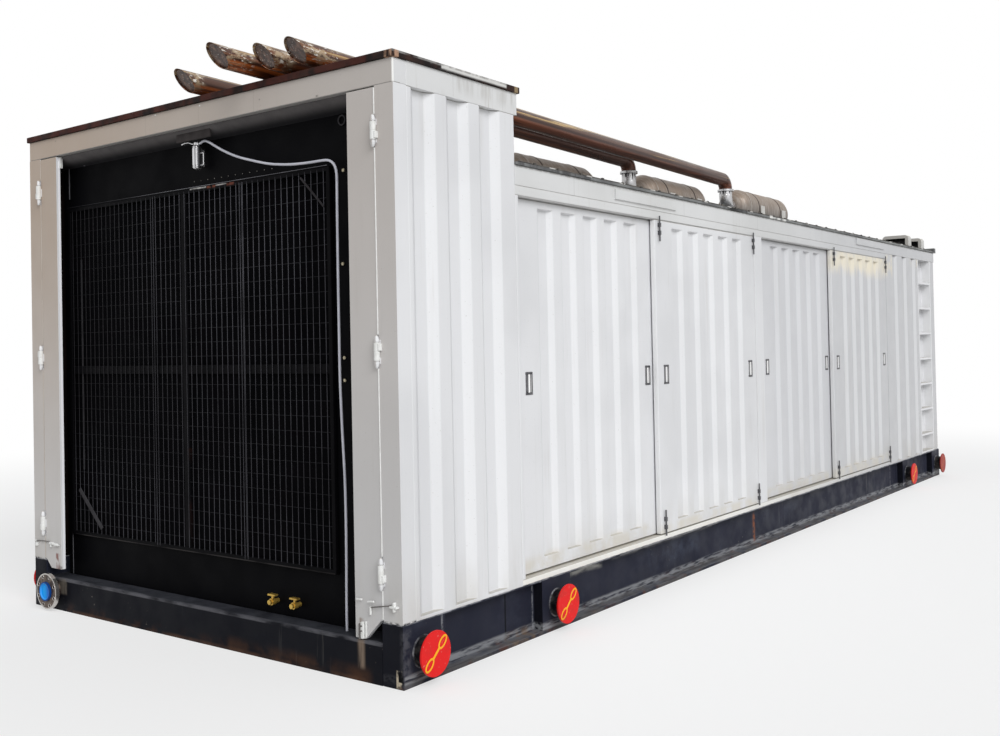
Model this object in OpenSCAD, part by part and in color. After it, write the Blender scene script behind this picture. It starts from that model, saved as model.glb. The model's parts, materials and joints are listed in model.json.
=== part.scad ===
// Containerised gas generator set: skid, acoustic enclosure with sliding side doors,
// radiator end, and roof-mounted silencers with exhaust pipes.
// Millimetres. X runs along the set from the radiator end (-X) to the rear (+X),
// Y runs from the near side (-Y) to the far side (+Y), Z is up. The origin is the
// centre of the skid's underside.

/* [Overall] */
// Length of the skid
set_len = 8900; // [8600:50:9600]
// Width of the skid
set_wid = 3000; // [2800:20:3300]
// Height of the skid
skid_h = 288; // [270:2:340]

/* [Skid] */
// Width of a side beam
beam_w = 125; // [110:5:160]
// Depth of the outer pocket between a beam's flanges
beam_pocket = 55; // [35:5:60]
// Thickness of a beam's web
beam_web = 15; // [10:1:25]
// Thickness of a beam's lower flange
flange_low = 20; // [12:1:25]
// Thickness of a beam's upper flange
flange_up = 12; // [8:1:20]
// Length of the solid box at each corner
corner_box = 293; // [270:5:340]
// Length of the box that carries an inner trunnion
lift_box = 273; // [250:5:320]
// Height of the front beam, below the side beams
front_beam_h = 190; // [160:5:220]
// Depth of the front beam, which is the radiator's seat
front_beam_d = 400; // [360:10:460]
// Depth of the rear beam
rear_beam_d = 115; // [90:5:160]
// Number of cross members
cross_count = 9; // [7:2:13]
// Width of a cross member
cross_w = 100; // [70:5:140]
// Thickness of the deck plate
deck_t = 12; // [8:1:20]

/* [Lifting trunnions] */
// Radius of a trunnion's stub
stub_r = 70; // [55:1:80]
// Length of a trunnion's stub
stub_len = 67; // [50:1:90]
// Radius of a trunnion's end disc
disc_r = 103; // [90:1:118]
// Thickness of a trunnion's end disc
disc_t = 10; // [6:1:14]
// Height of a trunnion's axis
stub_z = 146; // [130:1:160]
// Distance from the skid's end to the outer trunnion
stub_end = 135; // [120:5:150]
// Distance from the skid's end to the inner trunnion
stub_inner = 1230; // [1150:5:1400]

/* [Gas inlet flange] */
// Outer radius of the flange
flange_r = 105; // [98:1:112]
// Thickness of the flange
flange_t = 22; // [18:1:26]
// Outer radius of the flange's pipe
pipe_r = 57; // [50:1:62]
// Distance from the skid's front face to the flange's face
flange_out = 60; // [50:5:90]
// Diameter of the bolt circle
bolt_circle = 175; // [165:1:190]
// Number of bolt holes
bolt_count = 8; // [4:4:12]
// Radius of a bolt hole
bolt_hole_r = 9.5; // [7:0.5:11]
// Height of the flange's axis
flange_z = 118; // [114:1:150]
// Distance from the far side of the skid to the flange's axis
flange_side = 219; // [210:1:400]
// Radius of the flange's protective cap
cap_r = 56; // [50:1:62]

/* [Walls] */
// Thickness of the walls
wall_t = 110; // [105:5:140]
// Length of the tall radiator end
tall_len = 925; // [850:5:1050]
// Height of the tall header's top
tall_top = 2825; // [2700:5:3000]
// Depth of the tall header's face
tall_header_h = 113; // [90:1:140]
// Height of the main header's top
main_top = 2455; // [2380:5:2560]
// Depth of the main header's upper band
header_band = 105; // [90:1:130]
// Depth of the rail under the main header, over the doors
header_rail = 50; // [40:1:70]
// Thickness of a roof plate
roof_t = 15; // [10:1:25]
// Thickness of the tall roof's cap
tall_cap_t = 32; // [20:1:38]
// Overhang of a roof plate
roof_lip = 12; // [6:1:20]
// Overhang of the main roof past the rear wall
rear_lip = 70; // [45:1:90]
// Width of the raised strip along the rear edge of the main roof
roof_strip_w = 60; // [40:5:100]
// Height of the raised strip along the rear edge of the main roof
roof_strip_h = 38; // [20:1:50]
// Distance from the rear of the skid to the rear wall
rear_in = 40; // [30:1:60]
// Overhang of the main header past the rear wall
header_lip = 25; // [10:1:30]
// Overhang of the tall header past its wall
tall_header_lip = 28; // [15:1:40]
// Depth of a recess in a door or rear sheet
rib_depth = 24; // [15:1:28]
// Width of one sloping side of a recess in a door or rear sheet
rib_slope = 34; // [15:1:40]
// Width of a recess in a door or rear sheet
rib_w = 150; // [120:1:160]
// Distance between recesses in a door
door_rib_pitch = 231; // [200:1:240]
// Distance between recesses in a rear panel
rear_rib_pitch = 318; // [280:1:325]
// Distance from a rear panel's front edge to its first recess
rear_rib_start = 228; // [180:1:240]
// Depth of a recess in the tall wall
tall_rib_depth = 34; // [25:1:45]
// Width of one sloping side of a recess in the tall wall
tall_rib_slope = 47; // [30:1:55]
// Width of a recess in the tall wall
tall_rib_w = 172; // [140:2:200]
// Distance between recesses in the tall wall
tall_rib_pitch = 255; // [230:1:270]
// Distance from the corner post to the tall wall's first recess
tall_rib_start = 30; // [20:1:45]
// Depth of a corner post along the set
post_d = 90; // [70:5:110]
// Width of a front corner post
post_w = 115; // [100:1:125]

/* [Side doors] */
// Height of the door sill
sill_h = 30; // [20:1:45]
// Width of an outer sliding door
door_outer_w = 1530; // [1450:5:1560]
// Width of an inner sliding door
door_inner_w = 1515; // [1430:5:1540]
// Thickness of a sliding door
door_t = 35; // [30:1:50]
// Distance that an inner door overlaps its outer door
door_overlap = 58; // [30:1:80]
// Gap round a moving door
door_gap = 6; // [5:0.5:10]
// Set-back of the inner door plane
inner_plane = 43; // [43:1:80]
// Width of the post between the two door bays
bay_post = 145; // [120:1:200]
// Width of the stop in front of the rear bay's inner door
bay_stop = 38; // [25:1:60]
// Distance between the tall wall and the first door bay
bay_start = 25; // [15:1:40]
// Width of a flush pull
pull_w = 58; // [50:1:64]
// Height of a flush pull
pull_h = 115; // [100:1:130]
// Depth of a flush pull
pull_d = 19; // [12:1:20]
// Distance from a door's edge to its pull's centre
pull_in = 112; // [100:1:118]
// Height of a pull's centre
pull_z = 1320; // [1100:10:1500]
// Radius of a barrel bolt's rod
bolt_rod_r = 5; // [4:0.5:7]
// Length of a barrel bolt's rod
bolt_rod_len = 160; // [140:5:200]
// Distance from a door's front edge to its bolts
bolt_in_left = 46; // [20:1:60]
// Distance from a door's rear edge to its bolts
bolt_in_right = 27; // [20:1:50]

/* [End flaps] */
// Distance from the side of the set to a flap's free edge
flap_edge = 290; // [260:5:320]
// Thickness of a flap
flap_t = 26; // [20:1:32]
// Height of the near flap's foot
flap_foot_near = 198; // [195:1:240]
// Height of the far flap's foot
flap_foot_far = 243; // [225:1:270]
// Gap round a flap
flap_gap = 6; // [5:0.5:8]
// Radius of a hinge barrel
hinge_r = 13; // [10:1:15]
// Length of a hinge barrel
hinge_len = 150; // [120:3:180]
// Radius of a hinge pin
hinge_pin_r = 6; // [4:0.5:7]
// Running clearance round a hinge pin
hinge_play = 0.1; // [0.05:0.05:0.1]
// Height of the lowest hinge
hinge_low = 506; // [450:2:600]
// Distance between hinges
hinge_pitch = 1000; // [900:10:1080]

/* [Ladder bay] */
// Width of the ladder bay
ladder_w = 435; // [400:1:460]
// Depth of the ladder bay
ladder_d = 90; // [70:5:150]
// Distance from the rear of the set to the ladder bay
ladder_end = 200; // [170:2:220]
// Number of steps
step_count = 7; // [6:1:8]
// Distance between steps
step_pitch = 270; // [250:1:280]
// Thickness of a step
step_t = 22; // [15:1:30]
// Height of the lowest step's top
step_low = 495; // [460:1:540]
// Thickness of the ladder bay's sheet
bay_sheet = 20; // [10:1:25]

/* [Radiator] */
// Width of the radiator's frame
rad_w = 2440; // [2300:5:2460]
// Distance of the radiator's middle from the set's middle
rad_off = 90; // [40:5:100]
// Height of the gap over the radiator's frame
rad_gap = 32; // [10:1:50]
// Width of the guarded window
guard_w = 2240; // [2000:5:2260]
// Distance of the window's middle from the set's middle
guard_off = 124; // [60:1:130]
// Height of the guard's lower edge
guard_low = 440; // [400:5:500]
// Height of the guard's upper edge
guard_up = 2405; // [2300:5:2460]
// Height of the guard's middle bar
guard_mid = 1427; // [1300:1:1550]
// Set-back of the radiator's face
rad_in = 115; // [110:1:140]
// Depth of the radiator's frame
rad_frame_d = 50; // [40:1:70]
// Depth of the radiator's core
core_d = 225; // [180:5:230]
// Width of the guard's middle bars
guard_bar = 48; // [30:1:60]
// Thickness of the guard
guard_t = 24; // [15:1:26]

/* [Vent bottle and hose] */
// Radius of the vent bottle
bottle_r = 25; // [20:1:28]
// Height of the vent bottle
bottle_h = 130; // [100:2:150]
// Radius of the vent hose
hose_r = 6.5; // [5:0.5:9]

/* [Exhaust] */
// Outer radius of an exhaust pipe
exhaust_r = 54; // [45:1:62]
// Wall of an exhaust pipe
exhaust_wall = 3; // [2:0.5:5]
// Height of the exhaust pipes over the front of the set
exhaust_z = 2944; // [2920:2:3000]
// Slope of the exhaust pipes, in degrees
exhaust_slope = 1; // [0:0.1:1.2]
// Slant of a pipe's mouth along the pipe
mouth_slant = 105; // [80:5:130]
// Radius of a pipe bend's middle line
bend_r = 80; // [66:1:90]
// Radius of a silencer
silencer_r = 150; // [120:5:160]
// Length of a silencer's shell
silencer_len = 1000; // [990:10:1250]
// Height of a silencer above the roof
silencer_lift = 30; // [24:2:50]
// Width of a silencer saddle
saddle_w = 60; // [40:2:80]

/* [Roof hoods] */
// Width of a roof hood
hood_w = 270; // [230:5:330]
// Length of a roof hood
hood_len = 110; // [90:5:150]
// Height of a roof hood
hood_h = 142; // [110:2:160]
// Radius of a roof hood's upper corners
hood_r = 40; // [20:5:50]
// Width of the rim round a roof hood's mouth
hood_rim = 36; // [24:2:44]
// Distance between the roof hoods
hood_pitch = 490; // [460:5:560]
// Distance from the rear of the set to the last hood's mouth
hood_end = 263; // [220:1:300]
// Distance from the near side of the set to a hood
hood_side = 60; // [30:5:100]
// Sheet of a roof hood
hood_sheet = 12; // [6:1:16]

/* [Hidden] */
$fn = 48;
x_front = -set_len / 2;
x_rear = set_len / 2;
y_near = -set_wid / 2;
skin = 1;                    // how far a welded part sinks into what carries it
join = 0.5;                  // how far a cutting body runs past what it cuts

// Heights that the walls share
floor_z = skid_h;
wall_foot = 14;              // height of the flat strip under a wall sheet's recesses
sill_top = skid_h + sill_h;
band_low = main_top - header_band;
rail_low = band_low - header_rail;
tall_low = tall_top - tall_header_h;
main_roof_top = main_top + roof_t;
tall_roof_top = tall_top + tall_cap_t;

// Door bays along X: the doors set their length
tall_end = x_front + tall_len;
function bay_end(x) = x + door_inner_w - door_overlap + door_outer_w + door_gap;
bay_a0 = tall_end + bay_start;
inner_a = bay_a0 + 2 * door_gap;
bay_a1 = bay_end(inner_a);
bay_b0 = bay_a1 + bay_post;
inner_b = bay_b0 + bay_stop + door_gap;
bay_b1 = bay_end(inner_b);
inner_x = [inner_a, inner_b];
outer_x = [for (x = inner_x) x + door_inner_w - door_overlap];
door_low = sill_top + door_gap;
door_up = rail_low - door_gap;
rib_low = door_low + 68;
rib_up = door_up - 41;

// Rear end
x_back = x_rear - rear_in;
ladder_x1 = x_rear - ladder_end;
ladder_x0 = ladder_x1 - ladder_w;

// Radiator
rad_x = x_front + rad_in;
guard_y = [guard_off - guard_w / 2, guard_off + guard_w / 2];
frame_up = tall_low - rad_gap;
bottle_y = -27;
bottle_z = 2495;
bottle_stub = 30;            // how far the bottle's side pipes reach from its axis
hose_x = x_front + 70;

// End flaps
seam_y = y_near + post_w;
hinge_x = x_front - hinge_r;
knuckle = hinge_len / 3;

// Exhaust: where each pipe lies across the set, where its mouth is, and where it turns down
pipe_y = [-930, -736, -570, -67];
mouth_x = [-104, -129, -275, -86];
turn_x = [4736, 3462, 2020, 1040];
silencer_z = main_roof_top + silencer_lift + silencer_r;
neck_bend = 75;
ring_h = 14;
gasket = 0.2;                // between a bend and what it is clamped to
saddle_at = [440, 900];
function run_z(x) = exhaust_z - x * tan(exhaust_slope);
function run_end(i) = turn_x[i] - bend_r + bend_r * sin(exhaust_slope);
function run_len(i) = (run_end(i) - mouth_x[i]) / cos(exhaust_slope) - gasket;
function bend_z(i) = run_z(run_end(i)) - bend_r * cos(exhaust_slope);
function shell_x(i) = x_front + turn_x[i] + neck_bend;

// The vent hose's route, as [y, z] in the plane x = hose_x
hose_route = [
    [-57, 2632], [-76, 2639], [-98, 2640], [-128, 2629], [-168, 2608], [-230, 2576],
    [-300, 2545], [-370, 2519], [-450, 2496], [-535, 2473], [-610, 2456], [-690, 2444],
    [-765, 2436], [-840, 2432], [-910, 2430], [-965, 2430], [-1010, 2427], [-1040, 2414],
    [-1060, 2390], [-1069, 2355], [-1070, 2300], [-1069, 2200], [-1067, 1900], [-1067, 1600],
    [-1068, 1370], [-1076, 1150], [-1088, 900], [-1090, 700], [-1088, 500], [-1085, 350],
    [-1084, 240], [-1084, 192]
];

// ---- helpers ----

// A box between two corners
module span(low, high) {
    translate(low) cube(high - low);
}

// Children on the near side and mirrored on the far side
module both_sides() {
    children();
    mirror([0, 1, 0]) children();
}

// A row of recesses folded into a sheet: their width, pitch, count, depth and slope
door_rib = [rib_w, door_rib_pitch, 5, rib_depth, rib_slope];
rear_rib = [rib_w, rear_rib_pitch, 3, rib_depth, rib_slope];
tall_rib = [tall_rib_w, tall_rib_pitch, 3, tall_rib_depth, tall_rib_slope];

// One recess, cut into a sheet's outer face at y = 0
module rib_cut(x, z, rib) {
    w = rib[0];
    depth = rib[3];
    slope = rib[4];
    translate([x, 0, z[0]]) linear_extrude(z[1] - z[0])
        polygon([[0, -join], [w, -join], [w - slope, depth], [slope, depth]]);
}

// A slab of thickness t with a row of recesses in its outer face, the first at x = first
module ribbed_slab(x, t, z, first, rib_z, rib) {
    difference() {
        span([x[0], 0, z[0]], [x[1], t, z[1]]);
        for (i = [0 : rib[2] - 1]) rib_cut(first + i * rib[1], rib_z, rib);
    }
}

// ---- skid ----

module skid_beam() {
    pocket_z0 = flange_low;
    pocket_z1 = skid_h - flange_up;
    lift_x = x_front + stub_inner - lift_box / 2;
    pockets = [
        [x_front + corner_box, lift_x],
        [lift_x + lift_box, -lift_x - lift_box],
        [-lift_x, x_rear - corner_box]
    ];
    translate([0, y_near, 0]) difference() {
        span([x_front, 0, 0], [x_rear, beam_w, skid_h]);
        for (p = pockets) {
            span([p[0], -join, pocket_z0], [p[1], beam_pocket, pocket_z1]);
            span([p[0], beam_pocket + beam_web, pocket_z0], [p[1], beam_w + join, pocket_z1]);
        }
    }
}

module skid_side_beams() { color("#22252d") both_sides() skid_beam(); }

module skid_end_beams() {
    y0 = y_near + beam_w;
    color("#22252d") {
        span([x_front, y0, 0], [x_front + front_beam_d, -y0, front_beam_h]);
        span([x_rear - rear_beam_d, y0, 0], [x_rear, -y0, skid_h]);
    }
}

module skid_cross_members() {
    y0 = y_near + beam_w;
    first = x_front + front_beam_d;
    last = -first - cross_w;
    color("#22252d") for (i = [0 : cross_count - 1]) {
        x = first + i * (last - first) / (cross_count - 1);
        span([x, y0, 0], [x + cross_w, -y0, skid_h - deck_t]);
    }
}

module floor_deck() {
    y0 = y_near + beam_w;
    color("#4a4c50")
        span([x_front + front_beam_d, y0, skid_h - deck_t], [x_rear - rear_beam_d, -y0, skid_h]);
}

module at_trunnions() {
    for (x = [stub_end, stub_inner], s = [-1, 1])
        both_sides() translate([s * (set_len / 2 - x), y_near, stub_z]) rotate([90, 0, 0]) children();
}

module lifting_trunnions() {
    color("#17181c") at_trunnions() cylinder(r = stub_r, h = stub_len);
}

module trunnion_discs() {
    color("#cf2b26") at_trunnions() translate([0, 0, stub_len]) cylinder(r = disc_r, h = disc_t);
}

// ---- gas inlet ----

module at_flange() {
    translate([x_front, -y_near - flange_side, flange_z]) rotate([0, -90, 0]) children();
}

module gas_inlet_flange() {
    color("#6e6a66") at_flange() difference() {
        union() {
            cylinder(r = pipe_r, h = flange_out - flange_t + skin);
            translate([0, 0, flange_out - flange_t]) cylinder(r = flange_r, h = flange_t);
        }
        translate([0, 0, flange_out - flange_t]) for (i = [0 : bolt_count - 1])
            rotate([0, 0, (i + 0.5) * 360 / bolt_count]) translate([bolt_circle / 2, 0, -join])
                cylinder(r = bolt_hole_r, h = flange_t + 2 * join);
    }
}

module inlet_cap() {
    color("#1488e0") at_flange() translate([0, 0, flange_out]) difference() {
        cylinder(r = cap_r, h = 12);
        translate([0, 0, 4]) cylinder(r = cap_r - 10, h = 12);
    }
}

// ---- radiator end of the enclosure ----

// One knuckle of a hinge barrel, which has its foot at z = 0
module hinge_knuckle(z, h) {
    translate([hinge_x, seam_y, z]) cylinder(r = hinge_r, h = h);
}

function hinge_z(i) = hinge_low + i * hinge_pitch;

// A knuckle at the end of a barrel, which is domed at its foot and has a groove round it
module hinge_end(h) {
    r = hinge_r;
    rotate_extrude() polygon([
        [0, 0], [0.3 * r, 0], [0.55 * r, 0.08 * h], [0.8 * r, 0.26 * h], [0.92 * r, 0.42 * h], [0.95 * r, 0.58 * h],
        [0.76 * r, 0.6 * h], [0.76 * r, 0.65 * h], [r, 0.67 * h], [r, h], [0, h]
    ]);
}

// The two knuckles and the pin that stay on a post
module post_knuckles(i) {
    low = hinge_z(i) - hinge_len / 2;
    translate([hinge_x, seam_y, low]) hinge_end(knuckle - 1);
    translate([hinge_x, seam_y, low + 3 * knuckle - 1]) mirror([0, 0, 1]) hinge_end(knuckle - 1);
    for (z = [low + 0.4 * knuckle, low + 2 * knuckle])
        span([x_front - 5, seam_y - 12, z], [x_front + skin, seam_y, z + 0.6 * knuckle - 1]);
    translate([hinge_x, seam_y, low + knuckle / 2]) cylinder(r = hinge_pin_r, h = 2 * knuckle);
}

module corner_post() {
    span([x_front, y_near, floor_z], [x_front + post_d, seam_y, tall_low]);
    for (i = [0 : 2]) post_knuckles(i);
}

module corner_posts() { color("#e7e8ea") both_sides() corner_post(); }

// A flap with its hinge knuckles; its foot is cut on the slant over the skid's corner box
module end_flap(foot) {
    y0 = seam_y + flap_gap;
    y1 = y_near + flap_edge;
    heel = skid_h + flap_gap;
    slant = heel - foot;
    difference() {
        union() {
            translate([x_front + flap_t, 0, 0]) rotate([0, -90, 0]) linear_extrude(flap_t)
                polygon([
                    [tall_low - flap_gap, y0], [heel, y0], [heel, y_near + beam_w + flap_gap],
                    [foot, y_near + beam_w + flap_gap + slant], [foot, y1], [tall_low - flap_gap, y1]
                ]);
            for (i = [0 : 2]) {
                z = hinge_z(i) - knuckle / 2 + 1;
                hinge_knuckle(z, knuckle - 3);
                span([x_front - 5, seam_y, z], [x_front + skin, y0 + 8, z + knuckle - 3]);
            }
        }
        for (i = [0 : 2]) translate([hinge_x, seam_y, hinge_z(i) - knuckle])
            cylinder(r = hinge_pin_r + hinge_play, h = 2 * knuckle);
    }
}

module end_flaps() {
    color("#dcdcdc") {
        end_flap(flap_foot_near);
        mirror([0, 1, 0]) end_flap(flap_foot_far);
    }
}

module tall_header_front() {
    color("#e7e8ea") span([x_front, y_near, tall_low], [x_front + post_d, -y_near, tall_top]);
}

module tall_header_sides() {
    color("#e7e8ea") both_sides()
        span([x_front + post_d, y_near, tall_low], [tall_end + tall_header_lip, y_near + wall_t, tall_top]);
}

module tall_roof() {
    color("#3a2c26") span(
        [x_front - roof_lip, y_near - roof_lip, tall_top],
        [tall_end + tall_header_lip + roof_lip, -y_near + roof_lip, tall_roof_top]);
}

module tall_wall() {
    x0 = x_front + post_d;
    translate([0, y_near, 0]) ribbed_slab([x0, tall_end], wall_t, [floor_z, tall_low],
        x0 + tall_rib_start, [floor_z + wall_foot, tall_low + join], tall_rib);
}

module tall_walls() { color("#e7e8ea") both_sides() tall_wall(); }

module step_wall() {
    y0 = y_near + wall_t;
    color("#e7e8ea") span([tall_end - wall_t, y0, main_top - header_band], [tall_end, -y0, tall_top]);
}

// ---- main enclosure ----

module side_header() {
    plates = [[bay_a0 + 980, 770, band_low + 24], [bay_b1 - 877, 810, band_low + 34]];
    span([tall_end, y_near, band_low], [x_back - wall_t, y_near + wall_t, main_top]);
    for (p = plates) span([p[0], y_near - 12, p[2]], [p[0] + p[1], y_near + skin, p[2] + 60]);
}

module side_headers() { color("#e7e8ea") both_sides() side_header(); }

module door_rails() {
    color("#e7e8ea") both_sides()
        span([tall_end, y_near + 2, rail_low], [bay_b1, y_near + wall_t, band_low]);
}

module door_sills() {
    color("#e4e3de") both_sides()
        span([tall_end, y_near, floor_z], [bay_b1, y_near + wall_t, sill_top]);
}

module door_posts() {
    color("#e7e8ea") both_sides() {
        span([tall_end, y_near, sill_top], [bay_a0, y_near + wall_t, rail_low]);
        span([bay_a1, y_near, sill_top], [bay_b0, y_near + wall_t, rail_low]);
        span([bay_b0 - skin, y_near + inner_plane, sill_top], [inner_x[1] - door_gap, y_near + wall_t, rail_low]);
    }
}

module rear_panel() {
    translate([0, y_near, 0]) ribbed_slab([bay_b1, ladder_x0 - bay_sheet], wall_t, [floor_z, band_low],
        bay_b1 + rear_rib_start, [floor_z + wall_foot, band_low + join], rear_rib);
}

module rear_panels() { color("#e7e8ea") both_sides() rear_panel(); }

module ladder_bay() {
    translate([0, y_near, 0]) difference() {
        span([ladder_x0 - bay_sheet, 0, floor_z], [ladder_x1 + bay_sheet, ladder_d + bay_sheet, band_low]);
        span([ladder_x0, -join, floor_z + bay_sheet], [ladder_x1, ladder_d, band_low + join]);
    }
}

module ladder_bays() { color("#e1e2e4") both_sides() ladder_bay(); }

module ladder_steps() {
    color("#e1e2e4") both_sides() for (i = [0 : step_count - 1]) {
        z = step_low + i * step_pitch;
        span([ladder_x0, y_near, z - step_t], [ladder_x1, y_near + ladder_d, z]);
    }
}

module rear_corner_posts() {
    color("#e7e8ea") both_sides()
        span([ladder_x1 + bay_sheet, y_near, floor_z], [x_back, y_near + wall_t, band_low]);
}

module rear_wall() {
    y0 = y_near + wall_t;
    count = 9;
    pitch = (set_wid - 2 * wall_t) / count;
    rib = [rib_w, pitch, count, rib_depth, rib_slope];
    color("#e7e8ea") {
        translate([x_back, 0, 0]) rotate([0, 0, 90]) ribbed_slab([y0, -y0], wall_t, [floor_z, band_low],
            y0 + (pitch - rib_w) / 2, [floor_z + wall_foot, band_low + join], rib);
        span([x_back - wall_t, y_near, band_low], [x_back + header_lip, -y_near, main_top]);
    }
}

module main_roof() {
    x1 = x_back + rear_lip;
    y0 = y_near - roof_lip;
    color("#b9b6b0") {
        span([tall_end, y0, main_top], [x1, -y0, main_roof_top]);
        span([x1 - roof_strip_w, y0, main_roof_top - skin], [x1, -y0, main_roof_top + roof_strip_h]);
    }
}

// ---- sliding doors ----

// A door leaf with its outer face at y = 0
module door_leaf(w) {
    first = (w - 4 * door_rib_pitch - rib_w) / 2;
    difference() {
        ribbed_slab([0, w], door_t, [door_low, door_up], first, [rib_low, rib_up], door_rib);
        for (x = [pull_in, w - pull_in]) span(
            [x - pull_w / 2, -join, pull_z - pull_h / 2], [x + pull_w / 2, pull_d, pull_z + pull_h / 2]);
    }
}

// A flush pull: a rimmed dish with an upright grip
module flush_pull() {
    rim = 3;
    lip = 6;
    difference() {
        union() {
            span([-pull_w / 2 - rim, -rim, -pull_h / 2 - rim], [pull_w / 2 + rim, 0, pull_h / 2 + rim]);
            span([-pull_w / 2, -rim, -pull_h / 2], [pull_w / 2, pull_d, pull_h / 2]);
        }
        span([-pull_w / 2 + lip, -rim - join, -pull_h / 2 + lip], [pull_w / 2 - lip, pull_d - rim, pull_h / 2 - lip]);
    }
    span([-4, -1, -pull_h / 2 + lip - skin], [10, 4, pull_h / 2 - lip + skin]);
}

// A barrel bolt: a rod in front of the door, held by two lugs
module barrel_bolt(z0) {
    rod_y = -bolt_rod_r - 7;
    translate([0, rod_y, z0]) cylinder(r = bolt_rod_r, h = bolt_rod_len);
    for (z = [z0 + 40, z0 + bolt_rod_len - 70])
        span([-7, rod_y - bolt_rod_r - 2, z], [7, 0, z + 26]);
}

module door_fittings(w, bolted) {
    for (x = [pull_in, w - pull_in]) translate([x, 0, pull_z]) flush_pull();
    if (bolted) for (x = [bolt_in_left, w - bolt_in_right], z = [door_low - 12, door_up + 26 - bolt_rod_len])
        translate([x, 0, z]) barrel_bolt(z0 = 0);
}

// Doors 1 and 3 run in the inner plane, doors 2 and 4 in the outer plane
function door_x(i) = i % 2 == 0 ? inner_x[i / 2] : outer_x[(i - 1) / 2];
function door_y(i) = i % 2 == 0 ? inner_plane : 0;
function door_w(i) = i % 2 == 0 ? door_inner_w : door_outer_w;

module door(i) { color("#ececee") translate([door_x(i), y_near + door_y(i), 0]) door_leaf(door_w(i)); }
module pulls(i) {
    color("#55565a") translate([door_x(i), y_near + door_y(i), 0]) door_fittings(door_w(i), i % 2 == 1);
}

module near_door_1() { door(0); }
module near_door_2() { door(1); }
module near_door_3() { door(2); }
module near_door_4() { door(3); }
module far_door_1() { mirror([0, 1, 0]) door(0); }
module far_door_2() { mirror([0, 1, 0]) door(1); }
module far_door_3() { mirror([0, 1, 0]) door(2); }
module far_door_4() { mirror([0, 1, 0]) door(3); }
module near_pulls_1() { pulls(0); }
module near_pulls_2() { pulls(1); }
module near_pulls_3() { pulls(2); }
module near_pulls_4() { pulls(3); }
module far_pulls_1() { mirror([0, 1, 0]) pulls(0); }
module far_pulls_2() { mirror([0, 1, 0]) pulls(1); }
module far_pulls_3() { mirror([0, 1, 0]) pulls(2); }
module far_pulls_4() { mirror([0, 1, 0]) pulls(3); }

// ---- radiator ----

module radiator_frame() {
    y0 = rad_off - rad_w / 2;
    back_x = [rad_x + rad_frame_d - 10, rad_x + rad_frame_d];
    low_y = y_near + beam_w;
    up_y = y_near + wall_t;
    color("#0d0e11") difference() {
        union() {
            span([rad_x, y0, front_beam_h], [rad_x + rad_frame_d, y0 + rad_w, frame_up]);
            span([back_x[0], low_y, front_beam_h], [back_x[1], -low_y, floor_z + skin]);
            span([back_x[0], up_y, floor_z], [back_x[1], -up_y, frame_up]);
        }
        span([rad_x - join, guard_y[0], guard_low], [rad_x + rad_frame_d + join, guard_y[1], guard_up]);
    }
}

module radiator_core() {
    color("#08090b") span(
        [rad_x, guard_y[0], guard_low], [rad_x + rad_frame_d + core_d, guard_y[1], guard_up]);
}

// A frame with a cross of bars over a thin sheet, which stands for the guard's wires
module fan_guard() {
    edge = 24;
    sheet = 4;
    bar_y = guard_off + 10;
    color("#101114") difference() {
        span([rad_x - guard_t, guard_y[0], guard_low], [rad_x, guard_y[1], guard_up]);
        for (y = [[guard_y[0] + edge, bar_y - guard_bar / 2], [bar_y + guard_bar / 2, guard_y[1] - edge]],
             z = [[guard_low + edge, guard_mid - guard_bar / 2], [guard_mid + guard_bar / 2, guard_up - edge]])
            span([rad_x - guard_t - join, y[0], z[0]], [rad_x - sheet, y[1], z[1]]);
    }
}

module drain_valves() {
    color("#c9a227") for (y = [-558, -718]) translate([rad_x, y, 262]) {
        rotate([0, -90, 0]) cylinder(r = 12, h = 62);
        translate([-24, 0, 0]) rotate([0, -90, 0]) cylinder(r = 17, h = 24);
        translate([-36, 0, 0]) cylinder(r = 7, h = 34);
        span([-48, -26, 30], [-24, 26, 38]);
    }
}

// A bottle held by two arms, with a cap and a pipe at each end that leads to the hose's side
module vent_bottle() {
    plate_x = rad_x - hose_x;
    cap_h = 14;
    color("#b9bcc2") translate([hose_x, bottle_y, bottle_z]) {
        cylinder(r = bottle_r, h = bottle_h);
        translate([0, 0, bottle_h - skin]) cylinder(r = 16, h = cap_h);
        for (z = [20, bottle_h - 40]) span([0, -8, z], [plate_x, 8, z + 20]);
        translate([0, 0, bottle_h + cap_h / 2]) rotate([90, 0, 0]) cylinder(r = 6.5, h = bottle_stub);
    }
}

// Points along the hose, at most hose_step apart, on a smooth curve through the route
hose_step = 50;
function curve(a, b, c, d, t) = 0.5 * (2 * b + (c - a) * t
    + (2 * a - 5 * b + 4 * c - d) * t * t + (3 * b - a - 3 * c + d) * t * t * t);
function route_at(i) = hose_route[max(0, min(len(hose_route) - 1, i))];
hose_line = concat([for (i = [0 : len(hose_route) - 2])
    let (n = ceil(norm(route_at(i + 1) - route_at(i)) / hose_step))
    for (k = [0 : n - 1]) curve(route_at(i - 1), route_at(i), route_at(i + 1), route_at(i + 2), k / n)],
    [route_at(len(hose_route) - 1)]);

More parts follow.
